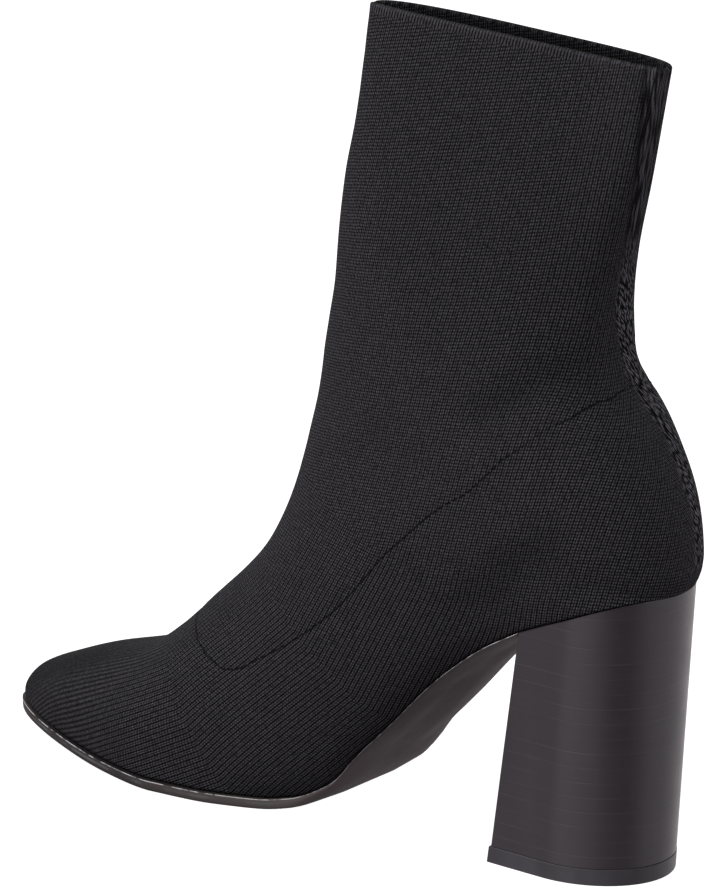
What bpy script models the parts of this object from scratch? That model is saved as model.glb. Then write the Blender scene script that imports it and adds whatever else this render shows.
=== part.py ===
"""Knit sock boot with a stacked block heel: one right boot, standing empty on the floor.

Frame: +X to the toe, +Y to the boot's inner (medial) side, +Z up, the floor at z = 0.
Tables and sizes are in millimetres. Stations are counted from the back of the heel towards the toe.
Pieces: upper (one knitted hollow wall), insole, outsole, heel block and top lift.
"""

import math
from collections import namedtuple

import bmesh
import bpy
from mathutils import Vector

MM = 0.001

# Driving dimensions
BOOT_LENGTH = 234.3
TOE_TIP_SHIFT = 7.5  # the toe tip lies this far to the inner side of the heel's centre line
WALL = 2.0  # knit with its lining
SEAT_GAP = 0.3  # between pieces that rest on each other
BALL_STATION_INNER = 170.0
BALL_STATION_OUTER = 152.0
BALL_HALF_INNER = 31.6
BALL_HALF_OUTER = 41.0
HEEL_HALF_WIDTH = 24.5
HEEL_ARC_STATION = 28.0  # in front of this the heel's outline stops being an arc
HEEL_END = 5.0  # rearmost point of the upper's lower edge
BREAST_STATION = 45.0  # front of the heel block at its top
SEAT_RISE = 0.25  # slope of the heel seat
SEAT_HEIGHT_AT_BREAST = 72.6
TREAD_SKEW = 0.22  # the bend behind the ball lies further back on the outer side
TREAD_THICKNESS = 3.3
WAIST_THICKNESS = 2.6
EDGE_LIP = 1.4  # the forefoot's sole edge stands out this far beyond the upper
WAIST_LIP = -0.2
TREAD_BEVEL = 0.9
WAIST_BEVEL = 2.0
LIFT_THICKNESS = 5.0
LIFT_LIP = 0.7
HEEL_FOOT_FRONT = 56.3  # the heel block's foot, at the floor
HEEL_FOOT_BACK = 9.0
HEEL_FOOT_WIDTH_SCALE = 0.89
HEEL_INSET = 0.5  # the heel block's top lies this far inside the upper's lower edge
INSOLE_THICKNESS = 2.5
INSOLE_INSET = 3.4  # from the upper's lower edge: wall and clearance
TOE_ARC_POWER = 1.4  # fullness of the almond toe in plan
TOE_ARC_ROOT = 1.8

# How finely the forms are cut
POINTS_PER_QUARTER = 10
STEPS_PER_ROW = 2
HEEL_STEPS = 20

Section = namedtuple(
    "Section", "low_x low_z top_x top_z ridge_y inner outer widest low_round top_round roll bow",
    defaults=(0.0,),
)
Height = namedtuple("Height", "station height")
Half = namedtuple("Half", "station half_width")

# Upper face of the sole, under the upper's lower edge, in front of the heel seat
SOLE_HEIGHTS = [
    Height(45.0, SEAT_HEIGHT_AT_BREAST),
    Height(59.0, 64.2),
    Height(76.0, 50.6),
    Height(93.0, 33.0),
    Height(105.0, 20.6),
    Height(113.0, 10.6),
    Height(121.0, 4.8),
    Height(129.0, 3.6),
    Height(165.0, 3.6),
    Height(188.0, 4.6),
    Height(212.0, 7.4),
    Height(BOOT_LENGTH, 10.4),
]

# Half-widths of the upper's lower edge from the heel to the ball, on the inner and the outer side
INNER_EDGE = [
    Half(28.0, HEEL_HALF_WIDTH),
    Half(45.0, 23.4),
    Half(70.0, 20.2),
    Half(95.0, 18.6),
    Half(112.0, 19.0),
    Half(126.0, 21.4),
    Half(140.0, 26.6),
    Half(154.0, 30.3),
    Half(BALL_STATION_INNER, BALL_HALF_INNER),
]
OUTER_EDGE = [
    Half(28.0, HEEL_HALF_WIDTH),
    Half(45.0, 24.8),
    Half(75.0, 26.8),
    Half(100.0, 31.0),
    Half(125.0, 37.6),
    Half(BALL_STATION_OUTER, BALL_HALF_OUTER),
]

# Sections of the upper behind the toe. Each is a plane through a low point, on the sole's edge or on the
# back line, and a top point, on the ridge of the vamp or on the front of the shaft.
# inner and outer are the greatest half-widths either side of the ridge, widest their place from low to top,
# roll how much the plane rises to the inner side, bow how much both sides rise over its ends.
# The rows from heel_end on are closed round the back.
SECTIONS = {
    "vamp": Section(190.0, 0, 188.0, 35.8, 5.0, 25.1, 38.3, 0.36, 2.4, 1.9, 0.0),
    "ball": Section(170.0, 0, 175.5, 44.5, 4.0, 28.6, 44.4, 0.33, 2.4, 1.8, 0.0),
    "ball_back": Section(149.0, 0, 164.0, 56.0, 3.0, 27.8, 46.0, 0.34, 2.4, 1.8, 0.0),
    "waist_front": Section(127.0, 0, 153.5, 66.5, 2.0, 26.6, 42.0, 0.38, 2.3, 1.8, 0.0),
    "waist": Section(105.0, 0, 145.2, 76.2, 1.5, 26.6, 37.0, 0.42, 2.2, 1.9, 0.0),
    "arch": Section(84.0, 0, 139.2, 86.2, 1.0, 27.2, 34.0, 0.43, 2.2, 2.0, 0.0),
    "shank": Section(64.0, 0, 135.2, 96.2, 0.6, 28.0, 31.8, 0.42, 2.2, 2.0, 0.0),
    "breast": Section(BREAST_STATION, 0, 132.4, 106.4, 0.2, 28.7, 30.6, 0.41, 2.2, 2.0, 0.0),
    "seat_front": Section(30.0, 0, 130.2, 116.0, 0.0, 29.2, 30.1, 0.39, 2.2, 2.0, 0.0),
    "seat": Section(17.0, 0, 128.2, 124.6, 0.0, 29.4, 29.8, 0.38, 2.2, 2.0, 0.0),
    "seat_back": Section(8.5, 0, 126.9, 132.8, 0.0, 29.4, 29.6, 0.37, 2.2, 2.0, 0.0),
    "heel_end": Section(HEEL_END, 82.6, 125.4, 141.0, 0.0, 29.2, 29.4, 0.37, 2.2, 2.1, 0.0),
    "counter": Section(3.5, 93.0, 123.9, 149.5, 0.0, 28.8, 28.8, 0.38, 2.3, 2.1, 0.0),
    "counter_top": Section(6.2, 109.5, 122.0, 160.0, 0.0, 27.6, 27.6, 0.40, 2.4, 2.1, 0.0),
    "tendon": Section(14.4, 127.5, 120.6, 171.5, 0.0, 25.8, 25.8, 0.42, 2.5, 2.2, 0.0),
    "ankle": Section(24.6, 142.5, 119.0, 183.0, 0.0, 23.6, 23.6, 0.45, 2.6, 2.3, 0.0),
    "shaft_low": Section(27.6, 159.0, 117.4, 194.5, 0.0, 20.8, 20.8, 0.46, 2.9, 2.4, 0.0),
    "shaft": Section(25.7, 179.0, 115.0, 207.5, 0.0, 17.2, 17.2, 0.47, 3.2, 2.5, 0.01),
    "shaft_top": Section(20.0, 203.0, 113.5, 222.0, 0.0, 12.6, 12.6, 0.48, 3.6, 2.6, 0.03, 0.03),
    "collar": Section(13.0, 233.6, 112.2, 239.0, 0.0, 6.8, 6.8, 0.48, 4.0, 2.7, 0.03, 0.22),
}
FIRST_CLOSED = "heel_end"

# Sections of the toe are worked out at these distances behind its tip
TOE_DISTANCES = [0.0, 0.9, 3.2, 7.5, 14.5, 25.0]
TOE_WALL_HEIGHT = 9.2  # how high the toe's blunt front rises before the vamp's slope takes over
TOE_WALL_REACH = 10.0
TOE_BULGE = 0.9  # the toe's sides stand out this far over the sole's edge
TOE_CROWN = 1.1  # the toe's ridge arches this far over a straight slope


def clamp(value, low, high):
    return max(low, min(high, value))


def monotone_curve(rows, x):
    """Height at x on a smooth curve through rows of (place, height) that never overshoots them."""
    places = [row[0] for row in rows]
    heights = [row[1] for row in rows]
    slopes = [
        (heights[i + 1] - heights[i]) / (places[i + 1] - places[i])
        for i in range(len(rows) - 1)
    ]
    tangents = [slopes[0]]
    for before, after in zip(slopes, slopes[1:]):
        tangents.append(2 * before * after / (before + after) if before * after > 0 else 0.0)
    tangents.append(slopes[-1])
    x = clamp(x, places[0], places[-1])
    i = max(k for k in range(len(slopes)) if places[k] <= x)
    span = places[i + 1] - places[i]
    t = (x - places[i]) / span
    return (
        heights[i] * (1 + 2 * t) * (1 - t) ** 2
        + tangents[i] * span * t * (1 - t) ** 2
        + heights[i + 1] * t * t * (3 - 2 * t)
        - tangents[i + 1] * span * t * t * (1 - t)
    )


def smooth_row(rows, t):
    """The row at t, counted in rows, on a smooth curve through all of them, column by column."""
    i = min(int(t), len(rows) - 2)
    u = t - i
    before, start, end, after = (rows[clamp(i + k, 0, len(rows) - 1)] for k in (-1, 0, 1, 2))
    mixed = []
    for p0, p1, p2, p3 in zip(before, start, end, after):
        bend = 2 * p0 - 5 * p1 + 4 * p2 - p3
        twist = 3 * p1 - p0 - 3 * p2 + p3
        mixed.append(p1 + 0.5 * u * (p2 - p0 + u * (bend + u * twist)))
    return type(start)(*mixed)


def ease(value, start, end):
    """0 up to start, 1 from end on, smooth between."""
    share = clamp((value - start) / (end - start), 0.0, 1.0)
    return share * share * (3 - 2 * share)


def sole_height(station, y=0.0):
    """Height of the sole's upper face, which is a straight slope under the heel."""
    if station <= BREAST_STATION:
        return SEAT_HEIGHT_AT_BREAST + (BREAST_STATION - station) * SEAT_RISE
    slant = TREAD_SKEW * y * ease(station, 108.0, 128.0) * (1 - ease(station, 160.0, 195.0))
    return monotone_curve(SOLE_HEIGHTS, station - slant)


def toe_arc(station, ball_station, ball_half, tip_half, grow):
    tip = BOOT_LENGTH + 1.2 * grow
    share = clamp((station - ball_station) / (tip - ball_station), 0.0, 1.0)
    full = ball_half + grow - tip_half
    return tip_half + full * (1 - share**TOE_ARC_POWER) ** (1 / TOE_ARC_ROOT)


def edge_half_width(station, side, grow=0.0):
    """Distance of the upper's lower edge from the boot's centre line; side is 1 inner, -1 outer.

    grow moves the whole line outwards, for a lip, or inwards where it is negative.
    """
    if station < HEEL_ARC_STATION:
        end = HEEL_END - grow
        share = clamp((HEEL_ARC_STATION - station) / (HEEL_ARC_STATION - end), 0.0, 1.0)
        return (HEEL_HALF_WIDTH + grow) * math.sqrt(1 - share * share)
    if side > 0:
        if station > BALL_STATION_INNER:
            return toe_arc(station, BALL_STATION_INNER, BALL_HALF_INNER, TOE_TIP_SHIFT, grow)
        return monotone_curve(INNER_EDGE, station) + grow
    if station > BALL_STATION_OUTER:
        return toe_arc(station, BALL_STATION_OUTER, BALL_HALF_OUTER, -TOE_TIP_SHIFT, grow)
    return monotone_curve(OUTER_EDGE, station) + grow


def toe_section(distance):
    """A cross-section of the toe, this far behind its tip, with the vamp's slope carried forward."""
    station = BOOT_LENGTH - distance
    vamp = SECTIONS["vamp"]
    low = sole_height(station)
    run = BOOT_LENGTH - vamp.top_x
    share = clamp(distance / TOE_WALL_REACH, 0.0, 1.0)
    wall = TOE_WALL_HEIGHT * math.sqrt(1 - (1 - share) ** 2)
    slope = (vamp.top_z - sole_height(vamp.low_x) - TOE_WALL_HEIGHT) / run
    ridge = TOE_TIP_SHIFT + (vamp.ridge_y - TOE_TIP_SHIFT) * distance / run
    bulge = TOE_BULGE * min(1.0, distance)
    crown = TOE_CROWN * math.sin(math.pi * distance / run) ** 2
    return Section(
        station,
        low,
        station,
        low + wall + slope * distance + crown,
        ridge,
        edge_half_width(station, 1) - ridge + bulge,
        edge_half_width(station, -1) + ridge + bulge,
        vamp.widest,
        vamp.low_round,
        2.2,
        0.0,
    )


def upper_rows():
    """All sections of the upper from the toe's tip to the collar, and the index of the first closed one."""
    rows = [toe_section(distance) for distance in TOE_DISTANCES]
    first_closed = len(rows) + list(SECTIONS).index(FIRST_CLOSED)
    for row in SECTIONS.values():
        rows.append(row if row.low_z else row._replace(low_z=sole_height(row.low_x)))
    return rows, first_closed


def half_section(row, edge, greatest):
    """Points (share from low to top, distance from the ridge) up one side of a section.

    The lower part is an arc cut off where it reaches the sole's edge; edge 0 closes it at the back.
    """
    edge_share = clamp(edge / greatest, 0.0, 0.999)
    depth = row.widest / (1 - edge_share**row.low_round) ** (1 / row.low_round)
    cut = math.asin(clamp((row.widest / depth) ** (row.low_round / 2), 0.0, 1.0))
    points = []
    for k in range(POINTS_PER_QUARTER):
        angle = cut * (1 - k / POINTS_PER_QUARTER)
        rise = row.widest - depth * math.sin(angle) ** (2 / row.low_round)
        points.append((rise, greatest * math.cos(angle) ** (2 / row.low_round)))
    for k in range(POINTS_PER_QUARTER + 1):
        angle = 0.5 * math.pi * k / POINTS_PER_QUARTER
        rise = row.widest + (1 - row.widest) * math.sin(angle) ** (2 / row.top_round)
        points.append((rise, greatest * max(math.cos(angle), 0.0) ** (2 / row.top_round)))
    return points


def section_points(row, closed):
    """Points round one section of the upper, from the inner lower edge over the ridge to the outer one."""
    low = Vector((row.low_x, 0.0, row.low_z))
    rise = Vector((row.top_x, 0.0, row.top_z)) - low
    points = []
    for side, greatest in ((1, row.inner), (-1, row.outer)):
        edge = 0.0 if closed else edge_half_width(row.low_x, side) - side * row.ridge_y
        lift = 0.0 if closed else sole_height(row.low_x, side * edge + row.ridge_y) - row.low_z
        half = []
        for share, reach in half_section(row, edge, greatest):
            height = reach * (row.bow + side * row.roll) + lift * (1 - share) ** 2
            half.append(low + rise * share + Vector((0.0, row.ridge_y + side * reach, height)))
        points += half if side > 0 else half[-2::-1]
    return points


def upper_stations():
    """(row, closed) for every section that is built."""
    rows, first_closed = upper_rows()
    count = (len(rows) - 1) * STEPS_PER_ROW
    for k in range(1, count + 1):
        t = k / STEPS_PER_ROW
        row = smooth_row(rows, t)
        closed = t >= first_closed
        if not closed:
            row = row._replace(low_z=sole_height(row.low_x, row.ridge_y))
        yield row, closed


def new_object(name, bm, collection, material):
    """A mesh object from bm, which is in millimetres."""
    bmesh.ops.scale(bm, vec=(MM, MM, MM), verts=bm.verts)
    mesh = bpy.data.meshes.new(name)
    bm.to_mesh(mesh)
    bm.free()
    mesh.shade_smooth()
    mesh.set_sharp_from_angle(angle=math.radians(40))
    mesh.materials.append(material)
    obj = bpy.data.objects.new(name, mesh)
    collection.objects.link(obj)
    return obj


def finish(name, colour, roughness):
    material = bpy.data.materials.new(name)
    material.use_nodes = True
    shader = material.node_tree.nodes["Principled BSDF"]
    shader.inputs["Base Color"].default_value = (*colour, 1.0)
    shader.inputs["Roughness"].default_value = roughness
    shader.inputs["Metallic"].default_value = 0.0
    return material


def join_rings(bm, rings, wrap):
    """Quads between neighbouring rings of vertices, also from each ring's end to its start where wrap."""
    for first, second in zip(rings, rings[1:]):
        count = len(first)
        for k in range(count if wrap else count - 1):
            corners = [first[k], first[(k + 1) % count], second[(k + 1) % count], second[k]]
            distinct = list(dict.fromkeys(corners))
            if len(distinct) > 2:
                bm.faces.new(distinct)


def make_upper(collection, material):
    """The knitted wall: an open surface from the sole's edge to the collar, thickened inwards."""
    bm = bmesh.new()
    tip = toe_section(0.0)
    tip_vertex = bm.verts.new((tip.low_x, tip.ridge_y, tip.low_z))
    rings = [[tip_vertex] * (4 * POINTS_PER_QUARTER + 1)]
    for row, closed in upper_stations():
        points = section_points(row, closed)
        ring = [bm.verts.new(p) for p in (points[:-1] if closed else points)]
        rings.append(ring + [ring[0]] if closed else ring)
    join_rings(bm, rings, wrap=False)
    bmesh.ops.recalc_face_normals(bm, faces=bm.faces)
    obj = new_object("upper", bm, collection, material)
    shell = obj.modifiers.new("wall", "SOLIDIFY")
    shell.thickness = WALL * MM
    shell.offset = -1.0
    shell.use_even_offset = True
    return obj


def loft(bm, rings):
    """A closed form through rings of points, with flat ends."""
    rows = [[bm.verts.new(p) for p in ring] for ring in rings]
    join_rings(bm, rows, wrap=True)
    bm.faces.new(rows[0])
    bm.faces.new(rows[-1])
    bmesh.ops.recalc_face_normals(bm, faces=bm.faces)


def stations_between(start, end, step):
    """Evenly spaced stations, closing up towards the end as a round tip needs."""
    count = round((end - start) / step)
    even = [start + (end - start) * k / count for k in range(count)]
    tip = [end - (end - even[-1]) * share for share in (0.55, 0.28, 0.12, 0.035, 0.004)]
    return even + tip


def sole_ring(station, grow, levels):
    """Cross-section of a sole piece. levels are (height over the sole's upper face, inset from the edge)."""
    ends = {side: edge_half_width(station, side, grow) for side in (1, -1)}
    deepest = max(inset for height, inset in levels)
    shrink = min(1.0, 0.4 * sum(ends.values()) / deepest)
    points = []
    for side, end in ends.items():
        half = []
        for height, inset in levels:
            y = side * (end - inset * shrink)
            half.append(Vector((station, y, sole_height(station, y) + height)))
        points += half if side > 0 else half[::-1]
    return points


def outsole_ring(station):
    """Flat tread at the forefoot, thin bevelled edge at the waist."""
    forefoot = ease(station, 100.0, 128.0)
    thickness = WAIST_THICKNESS + (TREAD_THICKNESS - WAIST_THICKNESS) * forefoot
    lip = WAIST_LIP + (EDGE_LIP - WAIST_LIP) * forefoot
    bevel = WAIST_BEVEL + (TREAD_BEVEL - WAIST_BEVEL) * forefoot
    under = -SEAT_GAP - thickness
    middle = bevel + 14.0
    levels = [(-SEAT_GAP, middle), (-SEAT_GAP, 0.3), (-SEAT_GAP - 0.4, 0.0)]
    levels += [(-SEAT_GAP - 0.55 * thickness, 0.0), (under, bevel), (under, middle)]
    return sole_ring(station, lip, levels)


def make_outsole(collection, material):
    """Thin sole from the toe to the heel's breast, flat on the floor under the ball."""
    bm = bmesh.new()
    tip = BOOT_LENGTH + 1.2 * EDGE_LIP
    rings = [outsole_ring(station) for station in stations_between(BREAST_STATION + SEAT_GAP, tip, 5.0)]
    lean = (HEEL_FOOT_FRONT - BREAST_STATION) / SEAT_HEIGHT_AT_BREAST
    top = rings[0][0].z
    rings[0] = [p + Vector(((top - p.z) * lean, 0.0, 0.0)) for p in rings[0]]
    loft(bm, rings)
    return new_object("outsole", bm, collection, material)


def insole_ring(station):
    levels = [(0.0, 14.0), (0.0, 0.0), (0.7 * INSOLE_THICKNESS, 0.0)]
    levels += [(INSOLE_THICKNESS, 0.8), (INSOLE_THICKNESS, 14.0)]
    return sole_ring(station, -INSOLE_INSET, levels)


def make_insole(collection, material):
    """Insole board lying on the sole and the heel block, inside the upper."""
    bm = bmesh.new()
    tip = BOOT_LENGTH - 1.2 * INSOLE_INSET
    back = [HEEL_END + INSOLE_INSET + d for d in (0.02, 0.4, 1.6, 4.0, 8.0, 14.0, 22.0)]
    front = stations_between(back[-1] + 5.0, tip, 5.0)
    loft(bm, [insole_ring(station) for station in back + front])
    return new_object("insole", bm, collection, material)


def heel_plan():
    """Plan of the heel's top: a D with a straight breast, from its inner front corner round the back."""
    points = []
    for side in (1, -1):
        half = []
        for k in range(HEEL_STEPS + 1):
            angle = 0.5 * math.pi * k / HEEL_STEPS
            end = HEEL_END + HEEL_INSET
            x = BREAST_STATION - (BREAST_STATION - end) * math.sin(angle)
            half.append((x, side * edge_half_width(x, side, -HEEL_INSET)))
        points += half if side > 0 else half[-2::-1]
    return points


def heel_point(x, y, height, lip=0.0):
    """Where a point of the heel's plan lies at this height, on a straight line down to the foot."""
    share = (x - HEEL_END) / (BREAST_STATION - HEEL_END)
    foot = Vector((HEEL_FOOT_BACK + share * (HEEL_FOOT_FRONT - HEEL_FOOT_BACK), y * HEEL_FOOT_WIDTH_SCALE, 0))
    top = Vector((x, y, sole_height(x) - SEAT_GAP))
    placed = foot.lerp(top, height / top.z)
    middle = 0.5 * (HEEL_FOOT_BACK + HEEL_FOOT_FRONT)
    placed.x += lip * (placed.x - middle) / (HEEL_FOOT_FRONT - middle)
    placed.y += lip * y / HEEL_HALF_WIDTH
    return placed


def make_heel_block(collection, material):
    """Stacked block heel: a D in plan, leaning forwards to its foot, cut to the slope of the seat."""
    bm = bmesh.new()
    plan = heel_plan()
    low = [heel_point(x, y, LIFT_THICKNESS + SEAT_GAP) for x, y in plan]
    high = [Vector((x, y, sole_height(x) - SEAT_GAP)) for x, y in plan]
    loft(bm, [low, high])
    return new_object("heel_block", bm, collection, material)


def make_top_lift(collection, material):
    """Replaceable tread piece under the heel block, a little wider than it."""
    bm = bmesh.new()
    loft(bm, [[heel_point(x, y, z, LIFT_LIP) for x, y in heel_plan()] for z in (0.0, LIFT_THICKNESS)])
    for vertex in bm.verts:
        vertex.co.z = round(vertex.co.z, 6)
    return new_object("top_lift", bm, collection, material)


def centre_on_floor(objects):
    """Moves the boot so that the middle of its length and width is above the origin."""
    bpy.context.view_layer.update()
    graph = bpy.context.evaluated_depsgraph_get()
    corners = []
    for obj in objects:
        mesh = obj.evaluated_get(graph).to_mesh()
        corners += [vertex.co.copy() for vertex in mesh.vertices]
        obj.evaluated_get(graph).to_mesh_clear()
    shift = [-0.5 * (min(p[i] for p in corners) + max(p[i] for p in corners)) for i in (0, 1)]
    for obj in objects:
        obj.location = (shift[0], shift[1], 0.0)


def main():
    for obj in list(bpy.data.objects):
        bpy.data.objects.remove(obj)
    boot = bpy.data.collections.new("knit_boot")
    bpy.context.scene.collection.children.link(boot)
    knit = finish("black_knit", (0.018, 0.018, 0.02), 0.85)
    sole = finish("smooth_sole", (0.03, 0.027, 0.026), 0.45)
    stacked = finish("stacked_heel", (0.035, 0.033, 0.034), 0.4)
    rubber = finish("lift_rubber", (0.03, 0.03, 0.032), 0.5)
    board = finish("insole_board", (0.03, 0.03, 0.03), 0.7)
    objects = [
        make_upper(boot, knit),
        make_insole(boot, board),
        make_outsole(boot, sole),
        make_heel_block(boot, stacked),
        make_top_lift(boot, rubber),
    ]
    centre_on_floor(objects)


main()
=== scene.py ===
"""Looks of the knit sock boot: ribbed knit upper with its seams, smooth sole and stacked block heel.

Lengths in the tables are millimetres. Stations are counted from the back of the heel towards the toe,
y from the heel's centre line towards the boot's inner side, heights from the floor.
"""

import math
from collections import namedtuple

import bmesh
import bpy
import numpy as np
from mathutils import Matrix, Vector


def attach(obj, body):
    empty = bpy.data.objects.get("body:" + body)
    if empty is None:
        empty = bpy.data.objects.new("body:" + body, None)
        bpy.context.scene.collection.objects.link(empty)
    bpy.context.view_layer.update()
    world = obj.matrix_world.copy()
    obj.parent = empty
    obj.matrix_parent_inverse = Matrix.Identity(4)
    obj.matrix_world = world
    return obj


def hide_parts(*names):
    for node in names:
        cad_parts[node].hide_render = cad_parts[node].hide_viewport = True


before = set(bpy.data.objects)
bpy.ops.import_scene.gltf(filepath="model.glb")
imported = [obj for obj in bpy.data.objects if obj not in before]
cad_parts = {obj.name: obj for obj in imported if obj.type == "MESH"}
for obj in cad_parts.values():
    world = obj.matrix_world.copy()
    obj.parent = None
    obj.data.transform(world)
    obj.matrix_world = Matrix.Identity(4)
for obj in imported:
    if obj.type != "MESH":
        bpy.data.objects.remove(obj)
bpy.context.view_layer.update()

MM = 0.001
ORIGIN = np.array((-119.73, 5.013, 0.0))  # station 0 on the heel's centre line, in the frame

# Sizes of the boot
BOOT_LENGTH = 234.3
TOE_TIP_SHIFT = 7.5
SEAT_GAP = 0.3
BALL_STATION_INNER = 170.0
BALL_STATION_OUTER = 152.0
BALL_HALF_INNER = 31.6
BALL_HALF_OUTER = 41.0
HEEL_HALF_WIDTH = 24.5
HEEL_ARC_STATION = 28.0
HEEL_END = 5.0
BREAST_STATION = 45.0
SEAT_HEIGHT_AT_BREAST = 72.6
SEAT_HEIGHT_AT_BACK = 85.7
TREAD_SKEW = 0.22  # the bend behind the ball lies further back on the outer side
TREAD_SKEW_REACH = -18.0  # further out than this the skew grows by a small share only
TREAD_SKEW_GROWTH = 0.15
TREAD_SKEW_START = (108.0, 128.0)
TREAD_SKEW_END = (160.0, 195.0)
FOREFOOT_START = (100.0, 128.0)  # where the sole turns from the waist's form to the tread's
TIP_GROWTH = 1.2  # the toe's tip moves on by this share of what an edge stands out
EDGE_LIP = 1.4
WAIST_LIP = -0.2
LIFT_THICKNESS = 5.0
LIFT_LIP = 0.7
LIFT_SIDE_LIP = 0.2  # share of the lip at the lift's sides and back
LIFT_GAP = 0.05
HEEL_FOOT_FRONT = 56.3
HEEL_FOOT_BACK = 9.0
HEEL_FOOT_WIDTH_SCALE = 0.89
HEEL_INSET = 0.5
INSOLE_THICKNESS = 2.5
INSOLE_INSET = 3.4
INSOLE_MIDDLE = 14.0  # from the insole's edge to the last points of its faces
INSOLE_BACK = 24.0  # length of its round back
TOE_ARC_POWER = 1.4
TOE_ARC_ROOT = 1.8
KNIT_THICKNESS = 1.7

Section = namedtuple(
    "Section", "low_x low_z top_x top_z ridge_y inner outer widest low_round top_round roll bow",
    defaults=(0.0, 0.0),
)
Height = namedtuple("Height", "station height")
Half = namedtuple("Half", "station half_width")

# Section of the sole: depth below its upper face and distance from its edge, first along the upper face
# out to the edge, then down and inwards at the waist and at the tread
SoleLevel = namedtuple("SoleLevel", "depth inset")
FACE_LEVELS = [
    SoleLevel(0.0, 2.0),
    SoleLevel(0.0, 0.35),
    SoleLevel(0.12, 0.1),
]
WAIST_LEVELS = [
    SoleLevel(0.3, 0.0),
    SoleLevel(0.45, 0.15),
    SoleLevel(1.0, 2.5),
    SoleLevel(1.7, 6.5),
    SoleLevel(2.3, 12.0),
    SoleLevel(2.55, 17.0),
    SoleLevel(2.6, 22.0),
]
TREAD_LEVELS = [
    SoleLevel(0.4, 0.0),
    SoleLevel(1.3, 0.0),
    SoleLevel(2.1, 0.05),
    SoleLevel(2.8, 0.3),
    SoleLevel(3.2, 0.7),
    SoleLevel(3.3, 1.5),
    SoleLevel(3.3, 15.0),
]
# Levels of that section, counted from the middle of the upper face, that carry a pale broken upper edge,
# partly wear and partly painted glints, a painted highlight on the wall, and painted shadow on the dark faces
WEAR_AND_PAINTED_LIGHT_LEVELS = {"upper edge": (3,), "wall": (5,), "dark faces": (0, 1, 2, 8, 9, 10)}
UNDERSIDE_LEVELS = 6
MOST_INSET = 0.4  # share of the sole's width that a level may lie in from the edge

# How much the outer half of the underside is raised, or lowered below 0, at the waist
OUTER_WAIST = [
    Height(60.0, 0.0),
    Height(84.0, -1.7),
    Height(100.0, -1.8),
    Height(107.0, -0.9),
    Height(113.0, 0.4),
    Height(117.5, 1.2),
    Height(120.5, 1.0),
    Height(124.5, -0.2),
    Height(131.0, -0.6),
    Height(138.0, -0.3),
    Height(150.0, 0.0),
]
# Its middle hangs a little lower where the waist runs out into the tread
MIDDLE_DROP = 0.9
MIDDLE_DROP_STATION = 121.0
MIDDLE_DROP_WIDTH = 6.0
MIDDLE_LOWEST = 0.05
SOLE_HEIGHTS = [
    Height(45.0, SEAT_HEIGHT_AT_BREAST),
    Height(59.0, 64.2),
    Height(76.0, 50.6),
    Height(93.0, 33.0),
    Height(105.0, 20.6),
    Height(113.0, 10.6),
    Height(121.0, 4.8),
    Height(129.0, 3.6),
    Height(165.0, 3.6),
    Height(188.0, 4.6),
    Height(212.0, 7.4),
    Height(BOOT_LENGTH, 10.4),
]
# The heel's upper edge rises steeply from the breast and levels out behind
SEAT_HEIGHTS = [
    Height(HEEL_END, SEAT_HEIGHT_AT_BACK),
    Height(8.0, 86.2),
    Height(12.0, 85.6),
    Height(16.0, 84.5),
    Height(20.0, 83.2),
    Height(24.0, 81.65),
    Height(28.0, 79.95),
    Height(35.0, 77.0),
    Height(BREAST_STATION, SEAT_HEIGHT_AT_BREAST),
]
INNER_EDGE = [
    Half(28.0, HEEL_HALF_WIDTH),
    Half(45.0, 23.4),
    Half(70.0, 20.2),
    Half(95.0, 18.6),
    Half(112.0, 19.0),
    Half(126.0, 21.4),
    Half(140.0, 26.6),
    Half(154.0, 30.3),
    Half(BALL_STATION_INNER, BALL_HALF_INNER),
]
OUTER_EDGE = [
    Half(28.0, HEEL_HALF_WIDTH),
    Half(45.0, 24.8),
    Half(75.0, 26.8),
    Half(100.0, 31.0),
    Half(125.0, 37.6),
    Half(BALL_STATION_OUTER, BALL_HALF_OUTER),
]
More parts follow.
